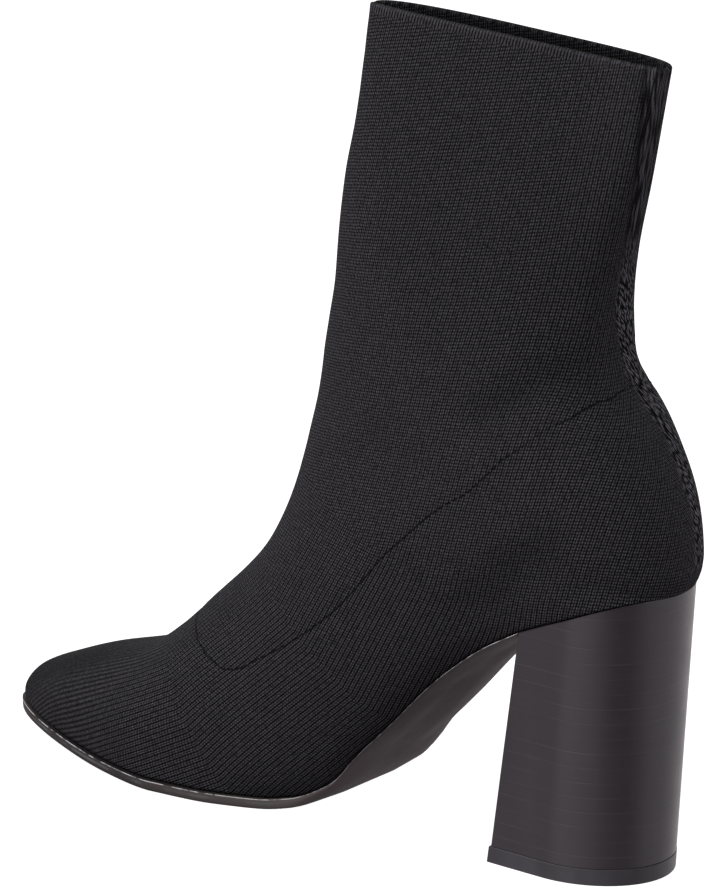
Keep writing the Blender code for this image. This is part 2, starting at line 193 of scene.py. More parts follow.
# Sections of the upper behind the toe, each through a low point on the sole's edge or the back line
# and a top point on the ridge of the vamp or the front of the shaft
SECTIONS = {
    "vamp": Section(190.0, 0, 188.0, 35.8, 5.0, 25.1, 38.3, 0.36, 2.4, 1.9),
    "ball": Section(170.0, 0, 175.5, 44.5, 4.0, 28.6, 44.4, 0.33, 2.4, 1.8),
    "ball_back": Section(149.0, 0, 164.0, 56.0, 3.0, 27.8, 46.0, 0.34, 2.4, 1.8),
    "waist_front": Section(127.0, 0, 153.5, 66.5, 2.0, 26.6, 42.0, 0.38, 2.3, 1.8),
    "waist": Section(105.0, 0, 145.2, 76.2, 1.5, 26.6, 37.0, 0.42, 2.2, 1.9),
    "arch": Section(84.0, 0, 139.2, 86.2, 1.0, 27.2, 34.0, 0.43, 2.2, 2.0),
    "shank": Section(64.0, 0, 135.2, 96.2, 0.6, 28.0, 31.8, 0.42, 2.2, 2.0),
    "breast": Section(BREAST_STATION, 0, 132.4, 106.4, 0.2, 28.7, 30.6, 0.41, 2.2, 2.0),
    "seat_front": Section(30.0, 0, 130.2, 116.0, 0.0, 29.2, 30.1, 0.39, 2.2, 2.0),
    "seat": Section(17.0, 0, 128.2, 124.6, 0.0, 29.4, 29.8, 0.38, 2.2, 2.0),
    "seat_back": Section(8.5, 0, 126.9, 132.8, 0.0, 29.4, 29.6, 0.37, 2.2, 2.0),
    "heel_end": Section(HEEL_END, SEAT_HEIGHT_AT_BACK, 125.4, 141.0, 0.0, 29.2, 29.4, 0.37, 2.2, 2.1),
    "counter": Section(3.5, 93.0, 123.9, 149.5, 0.0, 28.8, 28.8, 0.38, 2.3, 2.1),
    "counter_top": Section(6.2, 109.5, 122.0, 160.0, 0.0, 27.6, 27.6, 0.40, 2.4, 2.1),
    "tendon": Section(14.4, 127.5, 120.6, 171.5, 0.0, 25.8, 25.8, 0.42, 2.5, 2.2),
    "ankle": Section(24.6, 142.5, 119.0, 183.0, 0.0, 23.6, 23.6, 0.45, 2.6, 2.3),
    "shaft_low": Section(27.6, 159.0, 117.4, 194.5, 0.0, 20.8, 20.8, 0.46, 2.9, 2.4),
    "shaft": Section(25.7, 179.0, 115.0, 207.5, 0.0, 17.2, 17.2, 0.47, 3.2, 2.5, 0.01),
    "shaft_top": Section(20.0, 203.0, 113.5, 222.0, 0.0, 12.6, 12.6, 0.48, 3.6, 2.6, 0.03, 0.03),
    "collar": Section(13.0, 233.6, 112.2, 239.0, 0.0, 6.8, 6.8, 0.48, 4.0, 2.7, 0.03, 0.22),
}
FIRST_CLOSED = "heel_end"
TOE_DISTANCES = [0.0, 0.9, 3.2, 7.5, 14.5, 25.0]
TOE_WALL_HEIGHT = 9.2
TOE_WALL_REACH = 10.0
TOE_BULGE = 0.9
TOE_CROWN = 1.1
TOE_TOP_ROUND = 2.2

# Families of straight ribs, in a side view of the knit laid flat. slope is the ribs' rise towards the back
# and course that of the stitch rows, in degrees; reach is how far the family's first rib lies from the back
# of the heel on the floor.
RibFamily = namedtuple("RibFamily", "slope reach course")
RIB_FAMILIES = {
    "toe": RibFamily(27.0, 136.5, -50.0),
    "instep": RibFamily(41.5, 167.1, -28.0),
    "arch": RibFamily(60.0, 177.0, -8.0),
    "heel": RibFamily(71.0, 168.6, 6.0),
    "shaft": RibFamily(81.0, 149.1, 10.5),
}
SHAFT_BLEND = 10.0  # the heel's ribs lean over into the shaft's within this difference
TIP_RIB_OFFSET = 2.8  # ribs at the toe's tip run along the ridge, this many millimetres further on
TIP_RIBS_END = (4.2, 5.8)  # rows over which they give way to the toe's own
INSTEP_RIBS_START = 6.9  # before this row the instep's ribs drop away under the toe's
INSTEP_RIBS_DROP = 8.0
INSTEP_TURN_FROM = -80.0  # before this length along the instep's ribs they turn steeper towards the toe
INSTEP_TURN = 0.0045
RIB_PITCH = 1.52
COURSE_PITCH = 0.92
# Towards the back seam the stitch rows sink: by row, the distance from the back line over which they do
RowSink = namedtuple("RowSink", "row reach")
ROW_SINKS = [
    RowSink(17.0, 42.0),
    RowSink(20.5, 42.0),
    RowSink(22.5, 28.0),
    RowSink(24.0, 14.0),
    RowSink(25.0, 9.0),
]
ROW_SINK_SLOPE = 0.6
ROUND_HEEL_END = (17.0, 18.5)  # below these rows that distance is taken round the heel

# The gathered back seam: by row, how far it lies from the back line towards the inner side
BackSeam = namedtuple("BackSeam", "row shift")
BACK_SEAM = [
    BackSeam(17.5, -8.5),
    BackSeam(18.6, -9.5),
    BackSeam(19.3, -10.0),
    BackSeam(20.5, -9.0),
    BackSeam(21.0, -7.2),
    BackSeam(21.4, -5.2),
    BackSeam(22.0, -3.2),
    BackSeam(23.0, -2.0),
    BackSeam(23.6, -0.6),
    BackSeam(24.2, 1.1),
    BackSeam(24.7, 3.0),
    BackSeam(25.0, 3.6),
]
BACK_ROLL_ROWS = (17.6, 19.0)  # a low puckered roll along it begins here
BACK_ROLL_WIDTH = 2.6
BACK_ROLL_HEIGHT = 0.4
BACK_GROOVE_ROWS = (22.6, 23.8)  # and a groove beside it here
BACK_GROOVE_ASIDE = 3.2
BACK_GROOVE_WIDTH = 1.1
BACK_GROOVE_DEPTH = 0.6

# The stitched seam, front to back: place along the boot counted in sections, distance from the ridge
SeamPoint = namedtuple("SeamPoint", "row distance")
STITCHED_SEAM = [
    SeamPoint(7.45, -4.0),
    SeamPoint(7.6, 5.0),
    SeamPoint(7.88, 15.3),
    SeamPoint(8.12, 22.9),
    SeamPoint(8.38, 29.2),
    SeamPoint(8.75, 36.2),
    SeamPoint(9.12, 39.1),
    SeamPoint(9.62, 40.9),
    SeamPoint(10.38, 45.8),
    SeamPoint(11.38, 52.6),
    SeamPoint(12.88, 60.5),
    SeamPoint(13.88, 66.4),
    SeamPoint(16.22, 78.6),
    SeamPoint(18.0, 87.8),
    SeamPoint(18.75, 92.7),
    SeamPoint(19.75, 102.6),
    SeamPoint(20.05, 106.2),
    SeamPoint(20.3, 109.2),
    SeamPoint(20.5, 110.9),
    SeamPoint(20.68, 113.3),
    SeamPoint(20.8, 115.6),
    SeamPoint(20.9, 120.5),
    SeamPoint(21.2, 135.0),
]
SEAM_BEFORE = -40.0  # distance given in front of the seam's first point, off the knit
SEAM_BEYOND = 240.0  # and behind its last one
SEAM_STEP = 0.03  # rows between the points that follow it
SEAM_DENT = 0.18
SEAM_DENT_WIDTH = 1.4
STITCH_PITCH = 2.9
STITCH_LENGTH = 1.9
STITCH_WIDTH = 0.42
STITCH_LIFT = -0.15
STITCH_FLATNESS = 0.7
STITCH_SIDES = 6

# A stitch's thickness along its length, both as shares
StitchLevel = namedtuple("StitchLevel", "place fullness")
STITCH_LEVELS = [
    StitchLevel(-0.5, 0.35),
    StitchLevel(-0.3, 0.9),
    StitchLevel(0.0, 1.0),
    StitchLevel(0.3, 0.9),
    StitchLevel(0.5, 0.35),
]

# Soft creases: a line of places on the knit, with the same columns as the seam's, how high the crease stands
# (a trough is below 0), how wide it is and how much painted shade darkens the knit along it (below 0 a
# painted highlight)
Crease = namedtuple("Crease", "line height width shade")
CREASES = [
    Crease([SeamPoint(18.9, 76.8), SeamPoint(19.5, 83.9), SeamPoint(20.37, 92.2), SeamPoint(20.9, 97.9),
            SeamPoint(21.2, 103.9), SeamPoint(21.5, 111.0)], -1.1, 6.0, 0.28),
    Crease([SeamPoint(20.2, 106.0), SeamPoint(19.0, 92.0), SeamPoint(17.26, 79.8), SeamPoint(14.92, 69.8)],
           0.5, 6.0, -0.05),
    Crease([SeamPoint(18.4, 117.0), SeamPoint(17.76, 112.8), SeamPoint(15.44, 104.0), SeamPoint(14.1, 97.8),
            SeamPoint(13.24, 91.4), SeamPoint(12.4, 82.5)], -0.9, 6.5, 0.28),
    Crease([SeamPoint(13.4, 26.0), SeamPoint(14.32, 36.2), SeamPoint(15.64, 46.0), SeamPoint(17.06, 55.8)],
           -0.5, 6.0, 0.05),
]

# Zones of the knit, in rows, with their reach from the ridge or from the sole's edge. The toe is stretched
# smooth, and so are the vamp's point and, most of all, its crown.
SMOOTH_TOE_END = (5.0, 6.9)
SMOOTH_POINT_END = (8.3, 9.6)
SMOOTH_POINT_REACH = (8.0, 26.0)
SMOOTH_POINT_SHARE = 0.75
SMOOTH_CROWN_END = (6.2, 7.3)
SMOOTH_CROWN_REACH = (8.0, 25.0)
SMOOTH_CROWN_SHARE = 0.6
GRID_START = (10.4, 13.0)  # above the seam the knit turns into a fine grid of cells here
GRID_BEHIND = (-1.0, 6.0)  # and this far into the back's family of ribs
SOLE_LINE_START = (3.5, 5.5)  # a thin painted shadow line on the knit along the sole's edge grows darker here
SOLE_LINE_END = (16.0, 17.0)
SOLE_LINE_REACH = (0.2, 1.3)
SOLE_SHADE_START = (7.6, 9.0)  # a broad soft painted shadow lies over it behind the ball
SOLE_SHADE_END = (11.5, 13.5)
SOLE_SHADE_REACH = (0.0, 11.0)
SOLE_SHADE = 0.32
FAINT_SEAM_ROW = 19.6  # the stitched seam shows less near here
FAINT_SEAM_WIDTH = 0.45
FAINT_SEAM_SHARE = 0.6
BACK_SEAM_START = (17.3, 18.2)
BACK_ASIDE_START = (17.0, 18.0)  # below these rows all places count as far aside of the back seam
BACK_FAR_ASIDE = 40.0

# How finely the knit is cut
KNIT_ROWS = 240
KNIT_HALF = 82
KNIT_START = 0.04  # rows left free at the toe's tip and at the collar
KNIT_END = 0.02
EVEN_SHARE = 0.35  # how far the rows are spaced by section instead of by length
ROLL_ANGLES = (30.0, 60.0, 90.0, 120.0, 150.0)  # of the points round the collar's rim
CREASE_FINENESS = 8
FINE_EDGE = 9.0  # from the back line or the sole's edge the points lie closer together over this length
FINE_SPACING = 0.55
FINE_SHARE = 0.3  # or over this share of a short row

# Places and lengths in the finishes, in metres
SHAFT_START = (0.12, 0.17)
STRANDS_START = (0.168, 0.19)  # up here the back seam's leaning loops turn into long strands
WIDE_LOOPS_END = (0.134, 0.142)
LOOP_WIDTH = 0.0023
LOOP_LENGTH = 0.0042
STRAND_LENGTH = 0.009
HEEL_LAYER = 0.00452

# Widths in the knit's own coordinates
STRAND_WIDTH = 0.8
COLLAR_TICK = 1.05

# Tints of the near-black finishes and of the light
KNIT_TINT = (1.05, 1.0, 1.115)
SOLE_TINT = (1.2, 1.0, 1.03)
HEEL_TINT = (1.28, 1.0, 1.26)
LIFT_TINT = (1.12, 1.0, 1.26)
LOW_LIGHT_TINT = (1.05, 0.985, 1.02)
WHITE = (1.0, 1.0, 1.0)

# Camera and light, from the photograph's view
IMAGE_WIDTH = 726
IMAGE_HEIGHT = 888
VIEW_AZIMUTH = 216.0
VIEW_ELEVATION = 17.0
VIEW_DISTANCE = 1.7
VIEW_TARGET = Vector((0.0, 0.0, 0.12))
PIXELS_PER_METRE = 3470.0
TARGET_PIXEL = (361.0, 400.0)
SENSOR = 36.0
KEY_PLACE = Vector((0.9, 1.3, 1.5))
KEY_SIZE = (1.0, 1.2)
KEY_POWER = 22.0
FLOOR_SIZE = 30.0


def clamp(value, low, high):
    return max(low, min(high, value))


def ease(value, start, end):
    share = clamp((value - start) / (end - start), 0.0, 1.0)
    return share * share * (3 - 2 * share)


def ease_array(value, start, end):
    share = np.clip((value - start) / (end - start), 0.0, 1.0)
    return share * share * (3 - 2 * share)


def bell(value, width):
    return np.exp(-((value / width) ** 2))


def between(first, second, share):
    return first + (second - first) * share


def unit(vectors):
    return vectors / np.linalg.norm(vectors, axis=-1, keepdims=True)


def monotone_curve(rows, x):
    """Height at x on a smooth curve through rows of (place, height) that never overshoots them."""
    places = [row[0] for row in rows]
    heights = [row[1] for row in rows]
    slopes = [
        (heights[i + 1] - heights[i]) / (places[i + 1] - places[i])
        for i in range(len(rows) - 1)
    ]
    tangents = [slopes[0]]
    for before, after in zip(slopes, slopes[1:]):
        tangents.append(2 * before * after / (before + after) if before * after > 0 else 0.0)
    tangents.append(slopes[-1])
    x = clamp(x, places[0], places[-1])
    i = max(k for k in range(len(slopes)) if places[k] <= x)
    span = places[i + 1] - places[i]
    t = (x - places[i]) / span
    return (
        heights[i] * (1 + 2 * t) * (1 - t) ** 2
        + tangents[i] * span * t * (1 - t) ** 2
        + heights[i + 1] * t * t * (3 - 2 * t)
        - tangents[i + 1] * span * t * t * (1 - t)
    )


def smooth_row(rows, t):
    """The row at t, counted in rows, on a smooth curve through all of them, column by column."""
    i = min(int(t), len(rows) - 2)
    u = t - i
    before, start, end, after = (rows[clamp(i + k, 0, len(rows) - 1)] for k in (-1, 0, 1, 2))
    mixed = []
    for p0, p1, p2, p3 in zip(before, start, end, after):
        bend = 2 * p0 - 5 * p1 + 4 * p2 - p3
        twist = 3 * p1 - p0 - 3 * p2 + p3
        mixed.append(p1 + 0.5 * u * (p2 - p0 + u * (bend + u * twist)))
    return type(start)(*mixed)


def table_value(rows, place, **ends):
    """Value at a place on straight lines through rows of (place, value)."""
    places, values = zip(*rows)
    return np.interp(place, places, values, **ends)


def running_length(points):
    """Length along a line of points up to each of them."""
    steps = np.linalg.norm(np.diff(points, axis=0), axis=1)
    return np.concatenate(([0.0], np.cumsum(steps)))


def points_at(marks, lengths, points):
    """Points at marks along a line whose own points lie at these lengths."""
    return np.stack([np.interp(marks, lengths, points[:, k]) for k in range(3)], axis=-1)


# Form of the sole's edge and of the upper


def sole_height(station, y=0.0):
    """Height of the sole's upper face."""
    if station <= BREAST_STATION:
        return monotone_curve(SEAT_HEIGHTS, max(station, HEEL_END))
    reach = max(y, TREAD_SKEW_REACH + TREAD_SKEW_GROWTH * (y - TREAD_SKEW_REACH))
    slant = TREAD_SKEW * reach * ease(station, *TREAD_SKEW_START) * (1 - ease(station, *TREAD_SKEW_END))
    return monotone_curve(SOLE_HEIGHTS, station - slant)


def tip_station(grow):
    """Station of the toe's tip on an edge that stands out by this much."""
    return BOOT_LENGTH + TIP_GROWTH * grow


def toe_arc(station, ball_station, ball_half, tip_half, grow):
    """Half width in front of the ball, on an arc that ends at the toe's tip."""
    share = clamp((station - ball_station) / (tip_station(grow) - ball_station), 0.0, 1.0)
    full = ball_half + grow - tip_half
    return tip_half + full * (1 - share**TOE_ARC_POWER) ** (1 / TOE_ARC_ROOT)


def edge_half_width(station, side, grow=0.0):
    """Distance of the upper's lower edge from the centre line; side is 1 inner, -1 outer."""
    if station < HEEL_ARC_STATION:
        end = HEEL_END - grow
        share = clamp((HEEL_ARC_STATION - station) / (HEEL_ARC_STATION - end), 0.0, 1.0)
        return (HEEL_HALF_WIDTH + grow) * math.sqrt(1 - share * share)
    if side > 0:
        if station > BALL_STATION_INNER:
            return toe_arc(station, BALL_STATION_INNER, BALL_HALF_INNER, TOE_TIP_SHIFT, grow)
        return monotone_curve(INNER_EDGE, station) + grow
    if station > BALL_STATION_OUTER:
        return toe_arc(station, BALL_STATION_OUTER, BALL_HALF_OUTER, -TOE_TIP_SHIFT, grow)
    return monotone_curve(OUTER_EDGE, station) + grow


def toe_section(distance):
    """A cross-section of the toe, this far behind its tip, with the vamp's slope carried forward."""
    station = BOOT_LENGTH - distance
    vamp = SECTIONS["vamp"]
    low = sole_height(station)
    run = BOOT_LENGTH - vamp.top_x
    share = clamp(distance / TOE_WALL_REACH, 0.0, 1.0)
    wall = TOE_WALL_HEIGHT * math.sqrt(1 - (1 - share) ** 2)
    slope = (vamp.top_z - sole_height(vamp.low_x) - TOE_WALL_HEIGHT) / run
    ridge = TOE_TIP_SHIFT + (vamp.ridge_y - TOE_TIP_SHIFT) * distance / run
    bulge = TOE_BULGE * min(1.0, distance)
    crown = TOE_CROWN * math.sin(math.pi * distance / run) ** 2
    inner = edge_half_width(station, 1) - ridge + bulge
    outer = edge_half_width(station, -1) + ridge + bulge
    top = low + wall + slope * distance + crown
    rounds = (vamp.widest, vamp.low_round, TOE_TOP_ROUND)
    return Section(station, low, station, top, ridge, inner, outer, *rounds)


def upper_rows():
    """All sections of the upper from the toe's tip to the collar, and the index of the first closed one."""
    rows = [toe_section(distance) for distance in TOE_DISTANCES]
    first_closed = len(rows) + list(SECTIONS).index(FIRST_CLOSED)
    for row in SECTIONS.values():
        rows.append(row if row.low_z else row._replace(low_z=sole_height(row.low_x)))
    return rows, first_closed


UPPER_ROWS, FIRST_CLOSED_ROW = upper_rows()
LAST_ROW = len(UPPER_ROWS) - 1


def upper_row(t):
    """The section at t, counted in rows, and whether it closes at the back."""
    row = smooth_row(UPPER_ROWS, t)
    closed = t >= FIRST_CLOSED_ROW
    if not closed:
        row = row._replace(low_z=sole_height(row.low_x, row.ridge_y))
    return row, closed


def half_section(row, edge, greatest, count):
    """Points (share from low to top, distance from the ridge) up one side of a section."""
    edge_share = clamp(edge / greatest, 0.0, 0.999)
    depth = row.widest / (1 - edge_share**row.low_round) ** (1 / row.low_round)
    cut = math.asin(clamp((row.widest / depth) ** (row.low_round / 2), 0.0, 1.0))
    points = []
    for k in range(count):
        angle = cut * (1 - k / count)
        rise = row.widest - depth * math.sin(angle) ** (2 / row.low_round)
        points.append((rise, greatest * math.cos(angle) ** (2 / row.low_round)))
    for k in range(count + 1):
        angle = 0.5 * math.pi * k / count
        rise = row.widest + (1 - row.widest) * math.sin(angle) ** (2 / row.top_round)
        points.append((rise, greatest * max(math.cos(angle), 0.0) ** (2 / row.top_round)))
    return points


HalfLine = namedtuple("HalfLine", "points distance middle down")


def half_line(t, side, count=60):
    """One side of the section at t: its points from the ridge down, their distances from the ridge along
    the knit, the distance and side-view place of the widest point, and the side-view direction down."""
    row, closed = upper_row(t)
    low = np.array((row.low_x, 0.0, row.low_z))
    rise = np.array((row.top_x, 0.0, row.top_z)) - low
    greatest = row.inner if side > 0 else row.outer
    edge = 0.0 if closed else edge_half_width(row.low_x, side) - side * row.ridge_y
    lift = 0.0 if closed else sole_height(row.low_x, side * edge + row.ridge_y) - row.low_z
    points = []
    for share, reach in half_section(row, edge, greatest, count):
        height = reach * (row.bow + side * row.roll) + lift * (1 - share) ** 2
        points.append(low + rise * share + np.array((0.0, row.ridge_y + side * reach, height)))
    points = np.array(points[::-1])
    distance = running_length(points)
    down = -rise[[0, 2]] / np.linalg.norm(rise[[0, 2]])
    middle = (distance[count], points[count][[0, 2]])
    return HalfLine(points, distance, middle, down)


# The knit's rib coordinates


def family_values(places, family):
    """Distances across the ribs and across the stitch rows at places in the flat side view."""
    slope = math.radians(family.slope)
    course = math.radians(family.course)
    across = family.reach - places @ np.array((math.sin(slope), math.cos(slope)))
    return across, places @ np.array((math.sin(course), math.cos(course)))


def smooth_max(first, second, width):
    """The larger of two, rounded where they are within width of each other, and the second's share."""
    share = np.clip(0.5 + 0.5 * (second - first) / width, 0.0, 1.0)
    return first + (second - first) * share + width * share * (1 - share), share


def rib_values(line, distances):
    """Across and along values of the toe's, instep's, arch's and back's straight ribs, a column for each."""
    start, place = line.middle
    flat = place + (distances - start)[:, None] * line.down
    values = {name: family_values(flat, family) for name, family in RIB_FAMILIES.items()}
    slope = math.radians(RIB_FAMILIES["instep"].slope)
    length = flat @ np.array((-math.cos(slope), math.sin(slope)))
    values["instep"][0][:] -= 0.5 * INSTEP_TURN * np.clip(INSTEP_TURN_FROM - length, 0.0, None) ** 2
    heel_across, heel_along = values["heel"]
    shaft_across, shaft_along = values["shaft"]
    back_across, share = smooth_max(heel_across, shaft_across, SHAFT_BLEND)
    back_along = heel_along + (shaft_along - heel_along) * share
    front = [values[name] for name in ("toe", "instep", "arch")]
    across = np.column_stack([pair[0] for pair in front] + [back_across])
    along = np.column_stack([pair[1] for pair in front] + [back_along])
    return across, along


def knit_samples(line, count):
    """Distances from the ridge of the knit's points, closer together towards the low end."""
    total = line.distance[-1]
    fine = min(FINE_EDGE, FINE_SHARE * total)
    fine_count = min(round(fine / FINE_SPACING), count // 3)
    coarse = np.linspace(0.0, total - fine, count - fine_count)
    return np.concatenate((coarse, np.linspace(total - fine, total, fine_count + 1)[1:]))


def row_places():
    """Places of the knit's rows along the boot, evenly spaced over the surface."""
    dense = np.linspace(KNIT_START, LAST_ROW - KNIT_END, 900)
    marks = []
    for t in dense:
        line = half_line(t, 1, 6)
        marks.append(line.points[[0, 6, 12]])
    steps = np.linalg.norm(np.diff(np.array(marks), axis=0), axis=2).max(axis=1)
    travelled = np.concatenate(([0.0], np.cumsum(EVEN_SHARE * steps.mean() + steps)))
    return np.interp(np.linspace(0.0, travelled[-1], KNIT_ROWS), travelled, dense)


def at_distance(line, distances):
    """Points of one side of a section at distances from the ridge."""
    return points_at(distances, line.distance, line.points)


def on_knit(place, side):
    """The knit's point at a place given by row and distance from the ridge."""
    return at_distance(half_line(place.row, side), place.distance)


def seam_distance(t):
    """Distance of the stitched seam from the ridge, at each place along the boot."""
    return table_value(STITCHED_SEAM, t, left=SEAM_BEFORE, right=SEAM_BEYOND)


def seam_line(side):
    """Points of the stitched seam on one side of the boot, front to back, and each point's surface normal."""
    points = []
    normals = []
    aside = 0.5
    onward = 0.05
    for t in np.arange(STITCHED_SEAM[0].row, STITCHED_SEAM[-1].row, SEAM_STEP):
        distance = seam_distance(t)
        line = half_line(t, side)
        if not 0.0 <= distance <= line.distance[-1]:
            continue
        here = at_distance(line, distance)
        lower = at_distance(line, min(distance + aside, line.distance[-1]))
        upper = at_distance(line, max(distance - aside, 0.0))
        forward = at_distance(half_line(t + onward, side), distance) - here
        normal = np.cross(lower - upper, forward) * side
        points.append(here)
        normals.append(normal / np.linalg.norm(normal))
    return np.array(points), np.array(normals)


KnitGrid = namedtuple("KnitGrid", "points t distance left across along side")


def ridge_lengths(places):
    """Length along the ridge from the toe's tip to each row."""
    return running_length(np.array([half_line(t, 1, 2).points[0] for t in places]))


def knit_grid():
    """The knit's outer surface as a grid: rows from the toe to the collar, columns from the inner low edge
    over the ridge to the outer one, with the knit's coordinates at each point."""
    places = row_places()
    rows = []
    for t, length in zip(places, ridge_lengths(places)):
        columns = []
        sink = table_value(ROW_SINKS, t)
        for side in (1, -1):
            line = half_line(t, side)
            distances = knit_samples(line, KNIT_HALF)
            left = line.distance[-1] - distances
            if side > 0:
                pattern = line
            across, along = rib_values(pattern, distances)
            across[:, 1] -= INSTEP_RIBS_DROP * max(0.0, INSTEP_RIBS_START - t)
            tip = 1 - ease(t, *TIP_RIBS_END)
            across[:, 0] += tip * (distances + TIP_RIB_OFFSET - across[:, 0])
            along[:, 0] = length
            points = at_distance(line, distances)
            round_heel = np.arctan2(side * points[:, 1], HEEL_ARC_STATION - points[:, 0]) * HEEL_HALF_WIDTH
            behind = between(round_heel, left, ease(t, *ROUND_HEEL_END))
            along[:, 3] += ROW_SINK_SLOPE * np.clip(sink - behind, 0.0, None) ** 2 / (2 * sink)
            values = [points, np.full(len(left), t), distances, left]
            values += [across, along, np.full(len(left), float(side))]
            columns.append([v[::-1] for v in values] if side > 0 else [v[1:] for v in values])
        rows.append([np.concatenate(pair) for pair in zip(*columns)])
    return KnitGrid(*[np.stack(parts) for parts in zip(*rows)])


def closed_rows(points):
    """Which rows of a grid of points meet at their ends."""
    return np.linalg.norm(points[:, 0] - points[:, -1], axis=1) < 1e-6


def grid_normals(points):
    """Outward normals of a grid of points."""
    along = np.gradient(points, axis=0)
    across = np.gradient(points, axis=1)
    normals = np.cross(along, across)
    closed = closed_rows(points)
    joined = normals[closed, 0] + normals[closed, -1]
    normals[closed, 0] = joined
    normals[closed, -1] = joined
    return normals / np.maximum(np.linalg.norm(normals, axis=2, keepdims=True), 1e-12)


# Making meshes


def new_piece(name, verts, faces, material, smooth_angle=None):
    """A mesh object from vertices in stations (millimetres), placed in the frame."""
    placed = (np.asarray(verts, float) + ORIGIN) * MM
    mesh = bpy.data.meshes.new(name)
    mesh.from_pydata(placed.tolist(), [], [list(face) for face in faces])
    mesh.update()
    mesh.shade_smooth()
    if smooth_angle:
        mesh.set_sharp_from_angle(angle=math.radians(smooth_angle))
    mesh.materials.append(material)
    piece = bpy.data.objects.new(name, mesh)
    bpy.context.scene.collection.objects.link(piece)
    return piece


def dress(piece, slot, *nodes):
    """Sets the piece on the boot: it rides with it and stands for the nodes. The slot is not used."""
    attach(piece, "root")
    if nodes:
        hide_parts(*nodes)
    return piece


def add_values(piece, name, values):
    """Three values at each vertex, which the finish reads by name."""
    layer = piece.data.attributes.new(name, "FLOAT_VECTOR", "POINT")
    layer.data.foreach_set("vector", values.astype(np.float32).ravel())


def face_outwards(piece):
    bm = bmesh.new()
    bm.from_mesh(piece.data)
    bmesh.ops.recalc_face_normals(bm, faces=bm.faces)
    bm.to_mesh(piece.data)
    bm.free()


def ring_faces(rings, count, wrap, start=0):
    """Quads between neighbouring rings of count vertices each."""
    faces = []
    for r in range(rings - 1):
        for k in range(count if wrap else count - 1):
            n = (k + 1) % count
            low = start + r * count
            faces.append((low + k, low + n, low + count + n, low + count + k))
    return faces


def loft(name, rings, material, smooth_angle):
    """A closed form through rings of points, with flat ends."""
    rings = np.array(rings)
    count = rings.shape[1]
    faces = ring_faces(len(rings), count, wrap=True)
    faces.append(tuple(range(count)))
    faces.append(tuple(range((len(rings) - 1) * count, len(rings) * count)))
    piece = new_piece(name, rings.reshape(-1, 3), faces, material, smooth_angle)
    face_outwards(piece)
    return piece


# Node helpers


def plug(tree, socket, value):
    if isinstance(value, bpy.types.NodeSocket):
        tree.links.new(value, socket)
    else:
        socket.default_value = value


def node(tree, kind, inputs=None, **settings):
    made = tree.nodes.new(kind)
    for name, value in settings.items():
        setattr(made, name, value)
    for name, value in (inputs or {}).items():
        plug(tree, made.inputs[name], value)
    return made


def calc(tree, operation, *values):
    made = tree.nodes.new("ShaderNodeMath")
    made.operation = operation
    for socket, value in zip(made.inputs, values):
        plug(tree, socket, value)
    return made.outputs[0]


def times(tree, *values):
    """Product of the values."""
    product = values[0]
    for value in values[1:]:
        product = calc(tree, "MULTIPLY", product, value)
    return product


def fade(tree, value, start, end, low=0.0, high=1.0):
    """low up to start, high from end on, smooth between."""
    made = node(tree, "ShaderNodeMapRange", {"Value": value}, interpolation_type="SMOOTHSTEP")
    made.inputs["From Min"].default_value = start
    made.inputs["From Max"].default_value = end
    made.inputs["To Min"].default_value = low
    made.inputs["To Max"].default_value = high
    return made.outputs["Result"]


def blend_colours(tree, share, first, second):
    made = node(tree, "ShaderNodeMix", data_type="RGBA")
    plug(tree, made.inputs[0], share)
    plug(tree, made.inputs[6], first)
    plug(tree, made.inputs[7], second)
    return made.outputs[2]


def mix_values(tree, share, first, second):
    made = node(tree, "ShaderNodeMix")
    plug(tree, made.inputs[0], share)
    plug(tree, made.inputs[2], first)
    plug(tree, made.inputs[3], second)
    return made.outputs[0]


def scale_colour(tree, colour, scale):
    made = node(tree, "ShaderNodeVectorMath", {"Scale": scale}, operation="SCALE")
    plug(tree, made.inputs[0], colour)
    return made.outputs[0]


def tinted(value, tint):
    """A near-black colour of this brightness."""
    return tuple(value * share for share in tint) + (1.0,)


def new_group(name, inputs, outputs):
    """A shader node group with named number inputs and outputs; returns it with both end nodes."""
    tree = bpy.data.node_groups.new(name, "ShaderNodeTree")
    for label, value in inputs.items():
        socket = tree.interface.new_socket(label, in_out="INPUT", socket_type="NodeSocketFloat")
        socket.default_value = value
    for label in outputs:
        tree.interface.new_socket(label, in_out="OUTPUT", socket_type="NodeSocketFloat")
    return tree, tree.nodes.new("NodeGroupInput").outputs, tree.nodes.new("NodeGroupOutput").inputs


def place_group(tree, group, inputs):
    made = tree.nodes.new("ShaderNodeGroup")
    made.node_tree = group
    for name, value in inputs.items():
        plug(tree, made.inputs[name], value)
    return made.outputs


def new_material(name, roughness, specular, sheen=0.0):
    material = bpy.data.materials.new(name)
    material.use_nodes = True
    tree = material.node_tree
    shader = tree.nodes["Principled BSDF"]
    shader.inputs["Roughness"].default_value = roughness
    shader.inputs["Specular IOR Level"].default_value = specular
    shader.inputs["Sheen Weight"].default_value = sheen
    shader.inputs["Sheen Roughness"].default_value = 0.4
    return material, tree, shader


def set_surface(tree, shader, colour, height, depth, strength=1.0, roughness=None):
    """Links a finish's colour, its relief of this depth in metres and, where it changes, its roughness."""
    tree.links.new(colour, shader.inputs["Base Color"])
    if roughness is not None:
        tree.links.new(roughness, shader.inputs["Roughness"])
    bump = node(tree, "ShaderNodeBump", {"Height": height, "Distance": depth, "Strength": strength})
    tree.links.new(bump.outputs["Normal"], shader.inputs["Normal"])


def boot_place(tree):
    """Place on the boot, in metres in the frame, by axis."""
    place = node(tree, "ShaderNodeTexCoord").outputs["Object"]
    return node(tree, "ShaderNodeSeparateXYZ", {"Vector": place}).outputs


